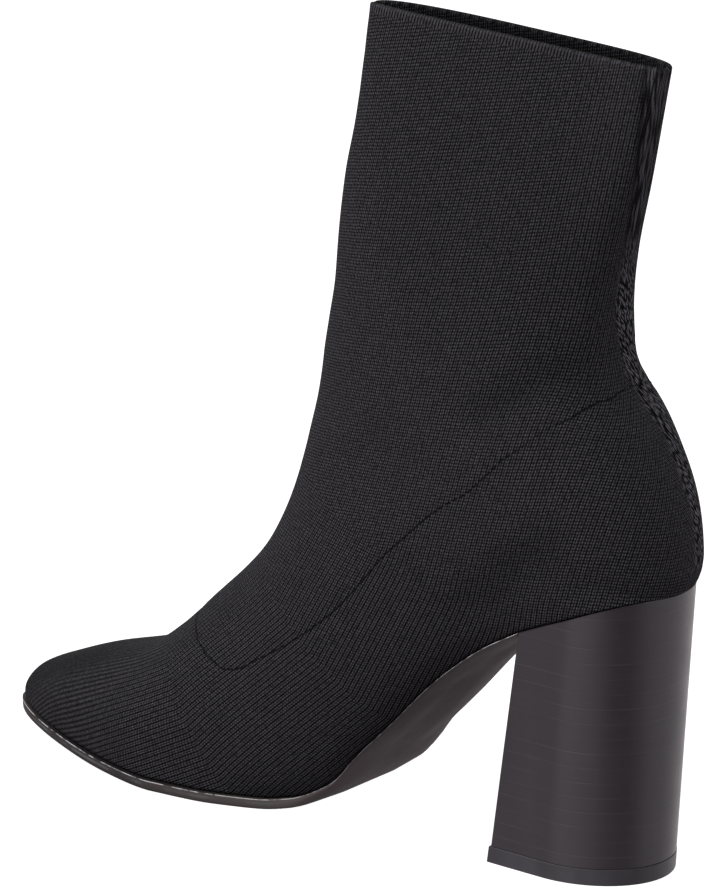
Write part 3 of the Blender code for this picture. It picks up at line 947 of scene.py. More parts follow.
def attribute_parts(tree, name):
    """The three values that a mesh holds under a name."""
    attribute = node(tree, "ShaderNodeAttribute", attribute_name=name)
    return node(tree, "ShaderNodeSeparateXYZ", {"Vector": attribute.outputs["Vector"]}).outputs


def position_noise(tree, scale, stretch=(1.0, 1.0, 1.0), detail=3.0):
    """Noise over the boot, scale in cells per metre."""
    place = node(tree, "ShaderNodeTexCoord").outputs["Object"]
    mapping = node(tree, "ShaderNodeMapping", {"Vector": place, "Scale": stretch})
    noise = node(tree, "ShaderNodeTexNoise", {"Vector": mapping.outputs[0], "Scale": scale, "Detail": detail})
    return noise.outputs["Fac"]


def cell_distance(tree, x, y, scale):
    """Distance from the middle of irregular cells on the plane of x and y."""
    place = node(tree, "ShaderNodeCombineXYZ", {"X": x, "Y": y})
    inputs = {"Vector": place.outputs[0], "Scale": scale}
    return node(tree, "ShaderNodeTexVoronoi", inputs, voronoi_dimensions="2D").outputs["Distance"]


# Shared effects


def knit_stitches_group():
    """Ribs of two wales with a deep groove between ribs and a shallow one inside, crossed by stitch rows."""
    inputs = {"Across": 0.0, "Along": 0.0, "Deep": 1.0, "Shallow": 0.5, "Course": 0.5, "Slant": 1.0}
    tree, given, result = new_group("knit_stitches", inputs, ["Height"])
    ribs = calc(tree, "DIVIDE", given["Across"], RIB_PITCH)
    wave = calc(tree, "COSINE", times(tree, ribs, 2 * math.pi))
    groove = calc(tree, "MULTIPLY_ADD", wave, 0.5, 0.5)
    crest = calc(tree, "SUBTRACT", 1.0, groove)
    deep = calc(tree, "POWER", groove, 1.25)
    shallow = calc(tree, "POWER", crest, 2.3)
    leg = times(tree, calc(tree, "PINGPONG", ribs, 0.5), given["Slant"])
    loops = calc(tree, "ADD", calc(tree, "DIVIDE", given["Along"], COURSE_PITCH), leg)
    row_wave = calc(tree, "COSINE", times(tree, loops, 2 * math.pi))
    course = calc(tree, "POWER", calc(tree, "MULTIPLY_ADD", row_wave, 0.5, 0.5), 1.5)
    height = calc(tree, "SUBTRACT", 1.0, times(tree, deep, given["Deep"]))
    for sunk, depth in ((shallow, given["Shallow"]), (course, given["Course"])):
        left = calc(tree, "SUBTRACT", 1.0, times(tree, sunk, depth))
        height = times(tree, height, left)
    tree.links.new(height, result["Height"])
    return tree


def fine_grain_group():
    """Small irregularities of a surface: two sizes of noise over the boot, mixed."""
    tree, given, result = new_group("fine_grain", {"Cells": 900.0, "Coarse share": 0.4}, ["Value"])
    place = node(tree, "ShaderNodeTexCoord").outputs["Object"]
    fine = node(tree, "ShaderNodeTexNoise", {"Vector": place, "Scale": given["Cells"], "Detail": 3.0})
    few = times(tree, given["Cells"], 0.12)
    coarse = node(tree, "ShaderNodeTexNoise", {"Vector": place, "Scale": few, "Detail": 2.0})
    mixed = node(tree, "ShaderNodeMix", {"Factor": given["Coarse share"]})
    tree.links.new(fine.outputs["Fac"], mixed.inputs[2])
    tree.links.new(coarse.outputs["Fac"], mixed.inputs[3])
    tree.links.new(mixed.outputs[0], result["Value"])
    return tree


def grain_value(tree, grain, cells, coarse_share):
    return place_group(tree, grain, {"Cells": cells, "Coarse share": coarse_share})["Value"]


# Finishes


def chosen_ribs(tree):
    """Across and along values of the family of ribs that a place belongs to, bent where families meet."""
    ribs = attribute_parts(tree, "ribs")
    courses = attribute_parts(tree, "courses")
    back = attribute_parts(tree, "ribs_back")
    across = ribs["X"]
    along = courses["X"]
    families = ((ribs["Y"], courses["Y"], 0.8), (ribs["Z"], courses["Z"], 0.5), (back["X"], back["Y"], 2.0))
    for next_across, next_along, bend in families:
        ahead = calc(tree, "GREATER_THAN", next_across, across)
        along = mix_values(tree, ahead, along, next_along)
        across = calc(tree, "SMOOTH_MAX", across, next_across, bend)
    return across, along, back["Z"]


def back_seam_braid(tree, aside, sewn):
    """Look of the gathered back seam at a distance aside of it: leaning loops low down, long strands high
    up. Gives their shade, how much they show, and how much painted shade darkens the groove beside the
    strands."""
    height = boot_place(tree)["Z"]
    high = fade(tree, height, *STRANDS_START)
    low = fade(tree, height, *WIDE_LOOPS_END, 1.0, 0.0)
    loose = position_noise(tree, 170.0)
    leaning = calc(tree, "MULTIPLY_ADD", aside, -1.05, calc(tree, "DIVIDE", height, LOOP_WIDTH))
    leaning = calc(tree, "MULTIPLY_ADD", loose, 3.0, leaning)
    length = calc(tree, "MULTIPLY_ADD", aside, 0.1, calc(tree, "DIVIDE", height, LOOP_LENGTH))
    loops = fade(tree, cell_distance(tree, leaning, length, 1.45), 0.05, 0.52, 5.6, 0.0)
    upright = calc(tree, "MULTIPLY_ADD", loose, 2.0, calc(tree, "DIVIDE", aside, STRAND_WIDTH))
    length = calc(tree, "DIVIDE", height, STRAND_LENGTH)
    strands = fade(tree, cell_distance(tree, upright, length, 1.0), 0.1, 0.62, 2.1, 0.15)
    shade = mix_values(tree, high, loops, strands)
    wobble = calc(tree, "MULTIPLY_ADD", position_noise(tree, 60.0), 4.0, calc(tree, "SUBTRACT", aside, 2.0))
    centre = calc(tree, "ABSOLUTE", calc(tree, "ADD", wobble, mix_values(tree, high, 2.0, 4.0)))
    reach = calc(tree, "SUBTRACT", centre, mix_values(tree, high, 3.2, 4.0))
    reach = calc(tree, "MULTIPLY_ADD", low, -0.8, reach)
    shown = times(tree, sewn, fade(tree, reach, 1.8, 4.8, 0.9, 0.0))
    beside = calc(tree, "ABSOLUTE", calc(tree, "SUBTRACT", wobble, BACK_GROOVE_ASIDE))
    # painted shade along the groove beside the strands
    groove = times(tree, high, sewn, fade(tree, beside, 0.1, 2.0, 1.0, 0.0))
    return shade, shown, groove


def knit_height(tree, stitches, zones, apart):
    """Height of the stitches: strong ribs on the foot, a fine even grid on the shaft, smooth at the toe,
    close ticks along the collar. Gives also the fine grid's share."""
    across, along, cells = chosen_ribs(tree)
    ribbed = fade(tree, zones["X"], 0.0, 1.0, 1.0, 0.0)
    smooth_deep = fade(tree, zones["X"], 1.0, 1.6, 0.66, 0.1)
    deep = mix_values(tree, zones["X"], mix_values(tree, cells, 0.98, 0.95), smooth_deep)
    shallow = times(tree, mix_values(tree, cells, 0.84, 0.9), ribbed)
    rows = fade(tree, apart, 3.0, 30.0, 0.38, 0.7)
    course = times(tree, mix_values(tree, cells, 0.62, rows), ribbed)
    along = calc(tree, "MULTIPLY_ADD", position_noise(tree, 350.0), 0.7, along)
    height = place_group(tree, stitches, {
        "Across": across, "Along": along, "Deep": deep, "Shallow": shallow, "Course": course,
        "Slant": mix_values(tree, cells, 1.0, 0.5),
    })["Height"]
    outside = calc(tree, "SUBTRACT", 1.0, zones["Z"])
    band = times(tree, outside, fade(tree, zones["Y"], 1.7, 2.4, 1.0, 0.0), fade(tree, apart, 8.0, 26.0))
    ticks = calc(tree, "COSINE", times(tree, across, 2 * math.pi / COLLAR_TICK))
    return mix_values(tree, band, height, fade(tree, ticks, -0.3, 0.7, 0.36, 0.05)), cells


def seam_dashes(tree, seams, sewn):
    """Dark dashes along the stitched seam."""
    dash = calc(tree, "COSINE", times(tree, seams["Y"], 2 * math.pi / STITCH_PITCH))
    near = fade(tree, calc(tree, "ABSOLUTE", seams["X"]), 0.1, 0.5, 1.0, 0.0)
    return times(tree, near, fade(tree, dash, -0.75, -0.2, 0.15, 1.0), sewn)


def knit_gain(tree, zones, cells, apart):
    """Brightness of the knit's crests: painted light and shade on the shaft, paler at its front and darker
    towards the back seam; darker where it is stretched smooth.
    """
    shaft = fade(tree, boot_place(tree)["Z"], *SHAFT_START)
    # painted light on the shaft: paler towards its front, darker near the back seam
    front = fade(tree, apart, 80.0, 110.0, 0.0, 0.16)
    painted_shaft_light = calc(tree, "ADD", fade(tree, apart, 15.0, 80.0, 0.95, 1.0), front)
    painted_shaft_light = mix_values(tree, shaft, 1.13, painted_shaft_light)
    gain = mix_values(tree, cells, 2.7, times(tree, painted_shaft_light, 2.72))
    rough = calc(tree, "SUBTRACT", 1.0, calc(tree, "MINIMUM", zones["X"], 1.0))
    smooth = fade(tree, zones["X"], 1.0, 1.6, 0.6, 0.275)
    return mix_values(tree, times(tree, rough, rough), smooth, gain)


def black_knit(stitches, grain):
    """Ribbed black knit with its stitched seam and gathered back seam; painted shade in its creases, along
    the sole and inside, and a painted highlight on the collar's rim.
    """
    material, tree, shader = new_material("black_rib_knit", roughness=0.85, specular=0.015, sheen=0.01)
    seams, zones, painted_shade_and_seams = (attribute_parts(tree, name) for name in ("seams", "zones", "painted_shade_and_seams"))
    apart = calc(tree, "ABSOLUTE", seams["Z"])
    knit, cells = knit_height(tree, stitches, zones, apart)
    yarn = grain_value(tree, grain, cells=1400.0, coarse_share=0.04)
    seam = seam_dashes(tree, seams, painted_shade_and_seams["Y"])
    braid, braided, groove = back_seam_braid(tree, seams["Z"], painted_shade_and_seams["Z"])
    # the knit's colour follows its stitch height: the stitch pattern, with painted shade in its grooves
    crisp = calc(tree, "POWER", knit, 1.25)
    lit = times(tree, crisp, knit_gain(tree, zones, cells, apart), fade(tree, yarn, 0.25, 0.75, 0.5, 1.5))
    braid_lit = times(tree, braid, calc(tree, "MULTIPLY_ADD", knit, 0.7, 0.5))
    # painted shade in the groove beside the back seam's strands, in the creases and along the sole's edge,
    # and the stitched seam's dark dashes
    lit = times(
        tree,
        mix_values(tree, braided, lit, braid_lit),
        calc(tree, "MULTIPLY_ADD", groove, -0.5, 1.0),
        calc(tree, "SUBTRACT", 1.0, painted_shade_and_seams["X"]),
        calc(tree, "MULTIPLY_ADD", seam, -0.75, 1.0),
    )
    outside = fade(tree, zones["Z"], 0.1, 0.5, 1.0, 0.0)
    # painted highlight along the outer edge of the collar's rolled rim
    rim = times(tree, fade(tree, zones["Y"], 0.05, 0.35, 0.2, 0.0), outside)
    # the inside of the boot is painted darker, as shade
    lit = times(tree, calc(tree, "ADD", lit, rim), calc(tree, "MULTIPLY_ADD", zones["Z"], -0.45, 1.0))
    colour = scale_colour(tree, KNIT_TINT, calc(tree, "MULTIPLY_ADD", lit, 0.048, 0.0012))
    height = calc(tree, "MULTIPLY_ADD", seam, -1.0, knit)
    height = calc(tree, "MULTIPLY_ADD", times(tree, braided, braid), 0.6, height)
    height = calc(tree, "MULTIPLY_ADD", yarn, 0.35, height)
    set_surface(tree, shader, colour, height, depth=0.0003, strength=0.7)
    return material


def seam_thread_finish(grain):
    """Dull black thread."""
    material, tree, shader = new_material("seam_thread", roughness=0.7, specular=0.1)
    yarn = grain_value(tree, grain, cells=2500.0, coarse_share=0.2)
    colour = blend_colours(tree, yarn, tinted(0.001, KNIT_TINT), tinted(0.006, KNIT_TINT))
    set_surface(tree, shader, colour, yarn, depth=0.0001)
    return material


def smooth_sole_finish(grain):
    """Brownish-black moulded sole with a satin face, darker in front, with a painted highlight along its
    wall, a pale broken upper edge that is partly wear and partly painted glints, and painted shadow on its
    lip under the knit and its lower edge.
    """
    material, tree, shader = new_material("smooth_sole", roughness=0.5, specular=0.06)
    speck = grain_value(tree, grain, cells=700.0, coarse_share=0.55)
    cloud = position_noise(tree, 45.0, (1.0, 1.0, 0.4))
    ahead = boot_place(tree)["X"]
    tread = fade(tree, ahead, -0.01, 0.02)
    wear_and_painted_light = attribute_parts(tree, "wear_and_painted_light")
    forefoot = fade(tree, ahead, 0.0, 0.07, 1.65, 0.68)
    level = mix_values(tree, fade(tree, ahead, -0.075, -0.035), 1.95, forefoot)
    # painted shadow on the lip under the knit and on the lower edge, weaker at the toe's tip
    dark = times(tree, wear_and_painted_light["Z"], tread, fade(tree, ahead, 0.085, 0.105, 1.0, 0.25))
    level = times(tree, level, calc(tree, "MULTIPLY_ADD", dark, -0.6, 1.0))
    body = blend_colours(tree, cloud, tinted(0.034, SOLE_TINT), tinted(0.052, SOLE_TINT))
    colour = scale_colour(tree, body, level)
    heelward = fade(tree, ahead, -0.06, -0.03, 1.0, 0.5)
    # a painted highlight along the wall, and a pale broken upper edge, partly wear and partly painted glints,
    # stronger towards the heel
    marks = ((wear_and_painted_light["Y"], 110.0, 0.4, 0.65, 0.09, tread), (wear_and_painted_light["X"], 260.0, 0.38, 0.55, 0.8, heelward))
    for edge, cells, start, end, pale, where in marks:
        broken = times(tree, fade(tree, position_noise(tree, cells), start, end), where)
        shown = times(tree, fade(tree, edge, 0.2, 0.9), broken)
        colour = blend_colours(tree, shown, colour, tinted(pale, WHITE))
    roughness = fade(tree, speck, 0.2, 0.8, 0.45, 0.6)
    set_surface(tree, shader, colour, speck, depth=0.00006, roughness=roughness)
    return material


def stacked_heel_finish(grain):
    """Charcoal heel covered to look stacked: fine pale lines between layers, faint upright grain."""
    material, tree, shader = new_material("stacked_heel", roughness=0.34, specular=0.5)
    wander = position_noise(tree, 30.0, (1.0, 1.0, 0.2), 1.0)
    level = calc(tree, "MULTIPLY_ADD", wander, 0.0007, boot_place(tree)["Z"])
    off = calc(tree, "PINGPONG", calc(tree, "DIVIDE", level, HEEL_LAYER), 0.5)
    present = fade(tree, position_noise(tree, 80.0, (1.0, 1.0, 4.0)), 0.4, 0.66, 0.08, 0.8)
    line = times(tree, fade(tree, off, 0.0, 0.08, 1.0, 0.0), present)
    streak = position_noise(tree, 160.0, (1.0, 1.0, 0.06))
    scratch = position_noise(tree, 1100.0, (0.06, 0.06, 1.0))
    grain_share = mix_values(tree, 0.45, streak, scratch)
    body = blend_colours(tree, grain_share, tinted(0.0125, HEEL_TINT), tinted(0.027, HEEL_TINT))
    colour = blend_colours(tree, line, body, tinted(0.036, HEEL_TINT))
    roughness = fade(tree, grain_value(tree, grain, cells=1100.0, coarse_share=0.5), 0.2, 0.8, 0.3, 0.4)
    relief = calc(tree, "MULTIPLY_ADD", line, -0.5, times(tree, streak, 0.5))
    set_surface(tree, shader, colour, relief, depth=0.00007, roughness=roughness)
    return material


def lift_finish(grain):
    """Dark rubber with soft paler patches."""
    material, tree, shader = new_material("lift_rubber", roughness=0.42, specular=0.45)
    speck = grain_value(tree, grain, cells=1300.0, coarse_share=0.4)
    patch = fade(tree, position_noise(tree, 70.0, (1.0, 1.0, 0.4)), 0.35, 0.7)
    patch = calc(tree, "MULTIPLY_ADD", speck, 0.4, times(tree, patch, 0.6))
    colour = blend_colours(tree, patch, tinted(0.02, LIFT_TINT), tinted(0.042, LIFT_TINT))
    roughness = fade(tree, speck, 0.2, 0.8, 0.38, 0.5)
    set_surface(tree, shader, colour, speck, depth=0.00008, roughness=roughness)
    return material


def insole_finish(grain):
    """Dull black cover of the insole."""
    material, tree, shader = new_material("insole_cover", roughness=0.8, specular=0.2, sheen=0.05)
    speck = grain_value(tree, grain, cells=1600.0, coarse_share=0.3)
    colour = blend_colours(tree, speck, tinted(0.012, KNIT_TINT), tinted(0.026, KNIT_TINT))
    set_surface(tree, shader, colour, speck, depth=0.00015)
    return material


def floor_finish():
    material, tree, shader = new_material("pale_floor", roughness=0.9, specular=0.1)
    cloud = position_noise(tree, 6.0)
    colour = blend_colours(tree, cloud, tinted(0.25, WHITE), tinted(0.26, WHITE))
    tree.links.new(colour, shader.inputs["Base Color"])
    shader.inputs["Emission Color"].default_value = tinted(1.0, WHITE)
    shader.inputs["Emission Strength"].default_value = 1.0
    return material


# Pieces


def nearest_on_lines(points, lines):
    """Distance to the nearest point of the lines, and that point's length along its line."""
    shape = points.shape[:-1]
    flat = points.reshape(-1, 3)
    best = np.full(len(flat), 1e9)
    length = np.zeros(len(flat))
    for line in lines:
        for place, reached in zip(line, running_length(line)):
            gap = np.linalg.norm(flat - place, axis=1)
            nearer = gap < best
            best[nearer] = gap[nearer]
            length[nearer] = reached
    return best.reshape(shape), length.reshape(shape)


def beside_back_seam(grid):
    """Distance of each point from the gathered back seam, above 0 on the inner side."""
    return grid.left * grid.side - table_value(BACK_SEAM, grid.t)


def back_seam_relief(grid, aside):
    """Gathers along the back seam: a groove beside it high up and a low puckered roll along it."""
    height = grid.points[..., 2]
    pucker = 0.7 + 0.3 * np.sin(height / 2.3) * np.sin(height / 5.9 + 1.0)
    groove = ease_array(grid.t, *BACK_GROOVE_ROWS) * bell(aside - BACK_GROOVE_ASIDE, BACK_GROOVE_WIDTH)
    roll = ease_array(grid.t, *BACK_ROLL_ROWS) * bell(aside, BACK_ROLL_WIDTH) * pucker
    return BACK_ROLL_HEIGHT * roll - BACK_GROOVE_DEPTH * groove


def crease_relief(grid):
    """Soft troughs and ridges on both sides, each along a line of places on the knit, and the painted shade
    that goes with them.
    """
    relief = np.zeros(grid.t.shape)
    shade = np.zeros(grid.t.shape)
    for crease in CREASES:
        for side in (1, -1):
            line = np.array([on_knit(place, side) for place in crease.line])
            marks = np.linspace(0.0, len(line) - 1.0, CREASE_FINENESS * len(line))
            dense = points_at(marks, range(len(line)), line)
            gap, along = nearest_on_lines(grid.points, [dense])
            total = np.linalg.norm(np.diff(dense, axis=0), axis=1).sum()
            ends = np.sin(np.pi * np.clip(along / total, 0.0, 1.0)) ** 0.6
            near = bell(gap, crease.width) * ends * (grid.side == side)
            relief += crease.height * near
            shade += crease.shade * near
    return relief, shade


def painted_sole_shadow(grid):
    """Painted shadow on the knit along the sole's edge: a thin dark line, and a broad soft one behind the
    ball.
    """
    line = (1.0 - ease_array(grid.left, *SOLE_LINE_REACH)) * (1.0 - ease_array(grid.t, *SOLE_LINE_END))
    line *= 0.3 + 0.35 * ease_array(grid.t, *SOLE_LINE_START)
    broad = (1.0 - ease_array(grid.left, *SOLE_SHADE_REACH)) * ease_array(grid.t, *SOLE_SHADE_START)
    broad *= 1.0 - ease_array(grid.t, *SOLE_SHADE_END)
    return np.maximum(line, SOLE_SHADE * broad)


def smooth_share(grid):
    """1 where the knit is stretched smooth, at the toe and on the vamp's point, fading out behind, and more
    on the crown."""
    toe = 1.0 - ease_array(grid.t, *SMOOTH_TOE_END)
    point = 1.0 - ease_array(grid.distance, *SMOOTH_POINT_REACH)
    point *= 1.0 - ease_array(grid.t, *SMOOTH_POINT_END)
    crown = 1.0 - ease_array(grid.distance, *SMOOTH_CROWN_REACH)
    crown *= 1.0 - ease_array(grid.t, *SMOOTH_CROWN_END)
    return np.maximum(toe, SMOOTH_POINT_SHARE * point) + SMOOTH_CROWN_SHARE * crown


def cell_share(grid, above):
    """1 where the knit is a fine grid of cells, on the shaft and the heel, 0 where it has strong ribs."""
    behind = grid.across[..., 3] - grid.across[..., 1:3].max(axis=-1)
    upper = ease_array(grid.t, *GRID_START) * (above > 0)
    return np.maximum(ease_array(behind, *GRID_BEHIND), upper)


def collar_roll(outer, normals):
    """Rows of points round the collar's rim, from the outside to the inside."""
    rim = outer[-1]
    upward = unit(rim - outer[-2])
    radius = 0.5 * KNIT_THICKNESS
    roll = []
    for angle in np.radians(ROLL_ANGLES):
        inward = radius * (1 - math.cos(angle)) * normals[-1]
        roll.append(rim - inward + radius * math.sin(angle) * upward)
    return np.array(roll)


def rim_distance(outer):
    """Distance of each point from the collar, up the surface."""
    steps = np.linalg.norm(np.diff(outer, axis=0), axis=2)
    return np.concatenate((np.cumsum(steps[::-1], axis=0)[::-1], np.zeros((1, outer.shape[1]))))


def open_edge_faces(index, closed):
    """Faces that close the wall along the sole's edge and at the toe's tip."""
    last = len(index) - 1
    faces = []
    for r in range(KNIT_ROWS - 1):
        if closed[r + 1]:
            break
        s = last - r
        faces.append((index[r, 0], index[r + 1, 0], index[s - 1, 0], index[s, 0]))
        faces.append((index[r, -1], index[s, -1], index[s - 1, -1], index[r + 1, -1]))
    faces.append(tuple(index[0]) + tuple(index[last][::-1]))
    return faces


def wall_faces(index, closed):
    """Faces of the knit's wall through a grid of vertex numbers."""
    corners = (index[:-1, :-1], index[:-1, 1:], index[1:, 1:], index[1:, :-1])
    quads = np.stack(corners, axis=-1).reshape(-1, 4)
    faces = [tuple(dict.fromkeys(quad)) for quad in quads.tolist()] + open_edge_faces(index, closed)
    return [face for face in faces if len(face) > 2]


def knit_upper(material, seam_lines):
    """The upper as one wall: outer surface with its creases and seams, rolled collar, inner surface."""
    grid = knit_grid()
    gap, along = nearest_on_lines(grid.points, seam_lines)
    above = np.sign(seam_distance(grid.t) - grid.distance)
    aside = beside_back_seam(grid)
    relief, shade = crease_relief(grid)
    shade = np.maximum(shade, painted_sole_shadow(grid))
    sewn = 1.0 - FAINT_SEAM_SHARE * bell(grid.t - FAINT_SEAM_ROW, FAINT_SEAM_WIDTH)
    relief += back_seam_relief(grid, aside) - SEAM_DENT * sewn * bell(gap, SEAM_DENT_WIDTH)
    outer = grid.points + grid_normals(grid.points) * relief[..., None]
    normals = grid_normals(outer)
    roll = collar_roll(outer, normals)
    rows = np.concatenate((outer, roll, (outer - KNIT_THICKNESS * normals)[::-1]))
    count = rows.shape[1]
    order = list(range(KNIT_ROWS)) + [KNIT_ROWS - 1] * len(roll) + list(range(KNIT_ROWS))[::-1]
    closed = closed_rows(grid.points)[order]
    index = np.arange(rows.shape[0] * count).reshape(rows.shape[:2])
    index[closed, -1] = index[closed, 0]
    faces = wall_faces(index, closed)
    used = np.unique(np.concatenate([np.array(face) for face in faces]))
    fresh = np.full(index.size, -1)
    fresh[used] = np.arange(len(used))
    faces = [tuple(fresh[list(face)]) for face in faces]
    piece = new_piece("knit_upper", rows.reshape(-1, 3)[used], faces, material)
    inside = np.concatenate((np.zeros(KNIT_ROWS), np.linspace(0.2, 1.0, len(roll)), np.ones(KNIT_ROWS)))
    inside = np.repeat(inside[:, None], count, axis=1)
    below = rim_distance(outer)
    rim = np.concatenate((below, np.zeros((len(roll), count)), below[::-1]))
    aside = aside + BACK_FAR_ASIDE * grid.side * (1.0 - ease_array(grid.t, *BACK_ASIDE_START))
    back_sewn = ease_array(grid.t, *BACK_SEAM_START)
    back_ribs = (grid.across[..., 3], grid.along[..., 3], cell_share(grid, above))
    values = {
        "ribs": grid.across[order][..., :3],
        "courses": grid.along[order][..., :3],
        "ribs_back": np.stack(back_ribs, axis=-1)[order],
        "seams": np.stack((gap * above, along, aside), axis=-1)[order],
        "zones": np.stack((smooth_share(grid)[order], rim, inside), axis=-1),
        # painted shade of the creases and along the sole's edge, and how much the two seams show
        "painted_shade_and_seams": np.stack((shade, sewn, back_sewn), axis=-1)[order],
    }
    for name, value in values.items():
        add_values(piece, name, value.reshape(-1, 3)[used])
    face_outwards(piece)
    return dress(piece, "knit", "upper")


def stitch_capsules(places, directions, normals):
    """Verts and faces of rounded stitches lying on the surface."""
    verts = []
    faces = []
    for place, direction, normal in zip(places, directions, normals):
        sideways = np.cross(normal, direction)
        start = len(verts)
        for level in STITCH_LEVELS:
            centre = place + direction * level.place * STITCH_LENGTH + normal * STITCH_LIFT
            for k in range(STITCH_SIDES):
                angle = 2 * math.pi * k / STITCH_SIDES
                spread = math.cos(angle) * sideways + STITCH_FLATNESS * math.sin(angle) * normal
                verts.append(centre + 0.5 * STITCH_WIDTH * level.fullness * spread)
        faces += ring_faces(len(STITCH_LEVELS), STITCH_SIDES, True, start)
        for end in (start, len(verts) - STITCH_SIDES):
            faces.append(tuple(end + k for k in range(STITCH_SIDES)))
    return verts, faces


def spaced(line, normals, pitch):
    """Places, directions and normals at even steps along a line."""
    reach = 0.3
    lengths = running_length(line)
    marks = np.arange(0.5 * pitch, lengths[-1], pitch)
    directions = points_at(marks + reach, lengths, line) - points_at(marks - reach, lengths, line)
    up = points_at(marks, lengths, normals)
    return points_at(marks, lengths, line), unit(directions), unit(up)


def seam_stitches(material, seams):
    """Thread of the stitched seam on both sides."""
    verts = []
    faces = []
    for line, normals in seams:
        stitch_verts, stitch_faces = stitch_capsules(*spaced(line, normals, STITCH_PITCH))
        faces += [tuple(len(verts) + k for k in face) for face in stitch_faces]
        verts += stitch_verts
    piece = new_piece("seam_stitches", verts, faces, material)
    face_outwards(piece)
    return dress(piece, "knit")


def stations_between(start, end, step):
    """Stations at even steps, drawing closer together before the end."""
    count = round((end - start) / step)
    even = [start + (end - start) * k / count for k in range(count)]
    shares = np.linspace(1.0, 0.0, 9)[1:-1] ** 2
    short = 0.004
    return even + [end - (end - even[-1]) * share for share in shares] + [end - short]


def sole_ring(station, grow, levels):
    """Cross-section of a sole piece. levels are (height over the sole's upper face, inset from the edge)."""
    ends = {side: edge_half_width(station, side, grow) for side in (1, -1)}
    deepest = max(inset for height, inset in levels)
    shrink = min(1.0, MOST_INSET * sum(ends.values()) / deepest)
    points = []
    for side, end in ends.items():
        half = []
        for height, inset in levels:
            y = side * (end - inset * shrink)
            half.append((station, y, sole_height(station, y) + height))
        points += half if side > 0 else half[::-1]
    return points


def outsole_levels(station):
    """Lip and levels of the outsole: rounded across at the waist, with an upright edge round the tread."""
    forefoot = ease(station, *FOREFOOT_START)
    lip = between(WAIST_LIP, EDGE_LIP, forefoot)
    levels = [(-SEAT_GAP, between(WAIST_LEVELS[-1].inset, TREAD_LEVELS[-1].inset, forefoot))]
    levels += [(-SEAT_GAP - level.depth, level.inset) for level in FACE_LEVELS]
    for waist, tread in zip(WAIST_LEVELS, TREAD_LEVELS):
        depth = between(waist.depth, tread.depth, forefoot)
        levels.append((-SEAT_GAP - depth, between(waist.inset, tread.inset, forefoot)))
    return lip, levels


def outsole(material):
    """The sole from the heel's breast to the toe."""
    rings = []
    for station in stations_between(BREAST_STATION + SEAT_GAP, tip_station(EDGE_LIP), step=1.6):
        lip, levels = outsole_levels(station)
        rings.append(sole_ring(station, lip, levels))
    rings = np.array(rings)
    lean = (HEEL_FOOT_FRONT - BREAST_STATION) / SEAT_HEIGHT_AT_BREAST
    rings[0, :, 0] += (rings[0, 0, 2] - rings[0, :, 2]) * lean
    half = rings.shape[1] // 2
    outer_low = rings[:, half:half + UNDERSIDE_LEVELS]
    outer_low[..., 2] += np.vectorize(lambda station: monotone_curve(OUTER_WAIST, station))(outer_low[..., 0])
    middle = rings[:, half]
    dropped = middle[:, 2] - MIDDLE_DROP * bell(middle[:, 0] - MIDDLE_DROP_STATION, MIDDLE_DROP_WIDTH)
    middle[:, 2] = np.maximum(dropped, np.minimum(middle[:, 2], MIDDLE_LOWEST))
    rings[..., 2] = np.maximum(rings[..., 2], 0.0)
    piece = loft("outsole_sole", rings, material, smooth_angle=50.0)
    # levels that take the worn upper edge, the painted highlight on the wall and the painted shadow
    wear_and_painted_light = np.zeros(rings.shape[:2] + (3,))
    for part, levels in enumerate(WEAR_AND_PAINTED_LIGHT_LEVELS.values()):
        for level in levels:
            wear_and_painted_light[:, [level, -1 - level], part] = 1.0
    add_values(piece, "wear_and_painted_light", wear_and_painted_light)
    return dress(piece, "outsole", "outsole")


def insole(material):
    """The board inside, with a rounded upper edge."""
    levels = [(0.0, INSOLE_MIDDLE), (0.0, 0.0), (0.7 * INSOLE_THICKNESS, 0.0)]
    levels += [(0.9 * INSOLE_THICKNESS, 0.3), (INSOLE_THICKNESS, 1.0), (INSOLE_THICKNESS, INSOLE_MIDDLE)]
    back = [HEEL_END + INSOLE_INSET + INSOLE_BACK * share**2 for share in np.linspace(0.03, 1.0, 14)]
    front = stations_between(back[-1] + 2.0, tip_station(-INSOLE_INSET), step=2.0)
    rings = [sole_ring(station, -INSOLE_INSET, levels) for station in back + front]
    return dress(loft("insole_board", rings, material, smooth_angle=40.0), "insole", "insole")


def heel_plan(steps=48):
    """Plan of the heel's top: a D with a straight breast, from its inner front corner round the back."""
    points = []
    end = HEEL_END + HEEL_INSET
    for side in (1, -1):
        half = []
        for k in range(steps + 1):
            angle = 0.5 * math.pi * k / steps
            x = BREAST_STATION - (BREAST_STATION - end) * math.sin(angle)
            half.append((x, side * edge_half_width(x, side, -HEEL_INSET)))
        points += half if side > 0 else half[-2::-1]
    return points


def heel_point(x, y, height, lip=0.0):
    """Where a point of the heel's plan lies at this height, on a straight line down to the foot."""
    share = (x - HEEL_END) / (BREAST_STATION - HEEL_END)
    front = HEEL_FOOT_BACK + share * (HEEL_FOOT_FRONT - HEEL_FOOT_BACK)
    foot = np.array((front, y * HEEL_FOOT_WIDTH_SCALE, 0.0))
    top = np.array((x, y, sole_height(x) - SEAT_GAP))
    placed = foot + (top - foot) * height / top[2]
    middle = 0.5 * (HEEL_FOOT_BACK + HEEL_FOOT_FRONT)
    out = (placed[0] - middle) / (HEEL_FOOT_FRONT - middle)
    placed[0] += lip * (out if out > 0 else LIFT_SIDE_LIP * out)
    placed[1] += LIFT_SIDE_LIP * lip * y / HEEL_HALF_WIDTH
    return placed


def soften_edges(piece, width):
    bevel = piece.modifiers.new("soft_edges", "BEVEL")
    bevel.width = width * MM
    bevel.segments = 2
    bevel.limit_method = "ANGLE"
    bevel.angle_limit = math.radians(40.0)


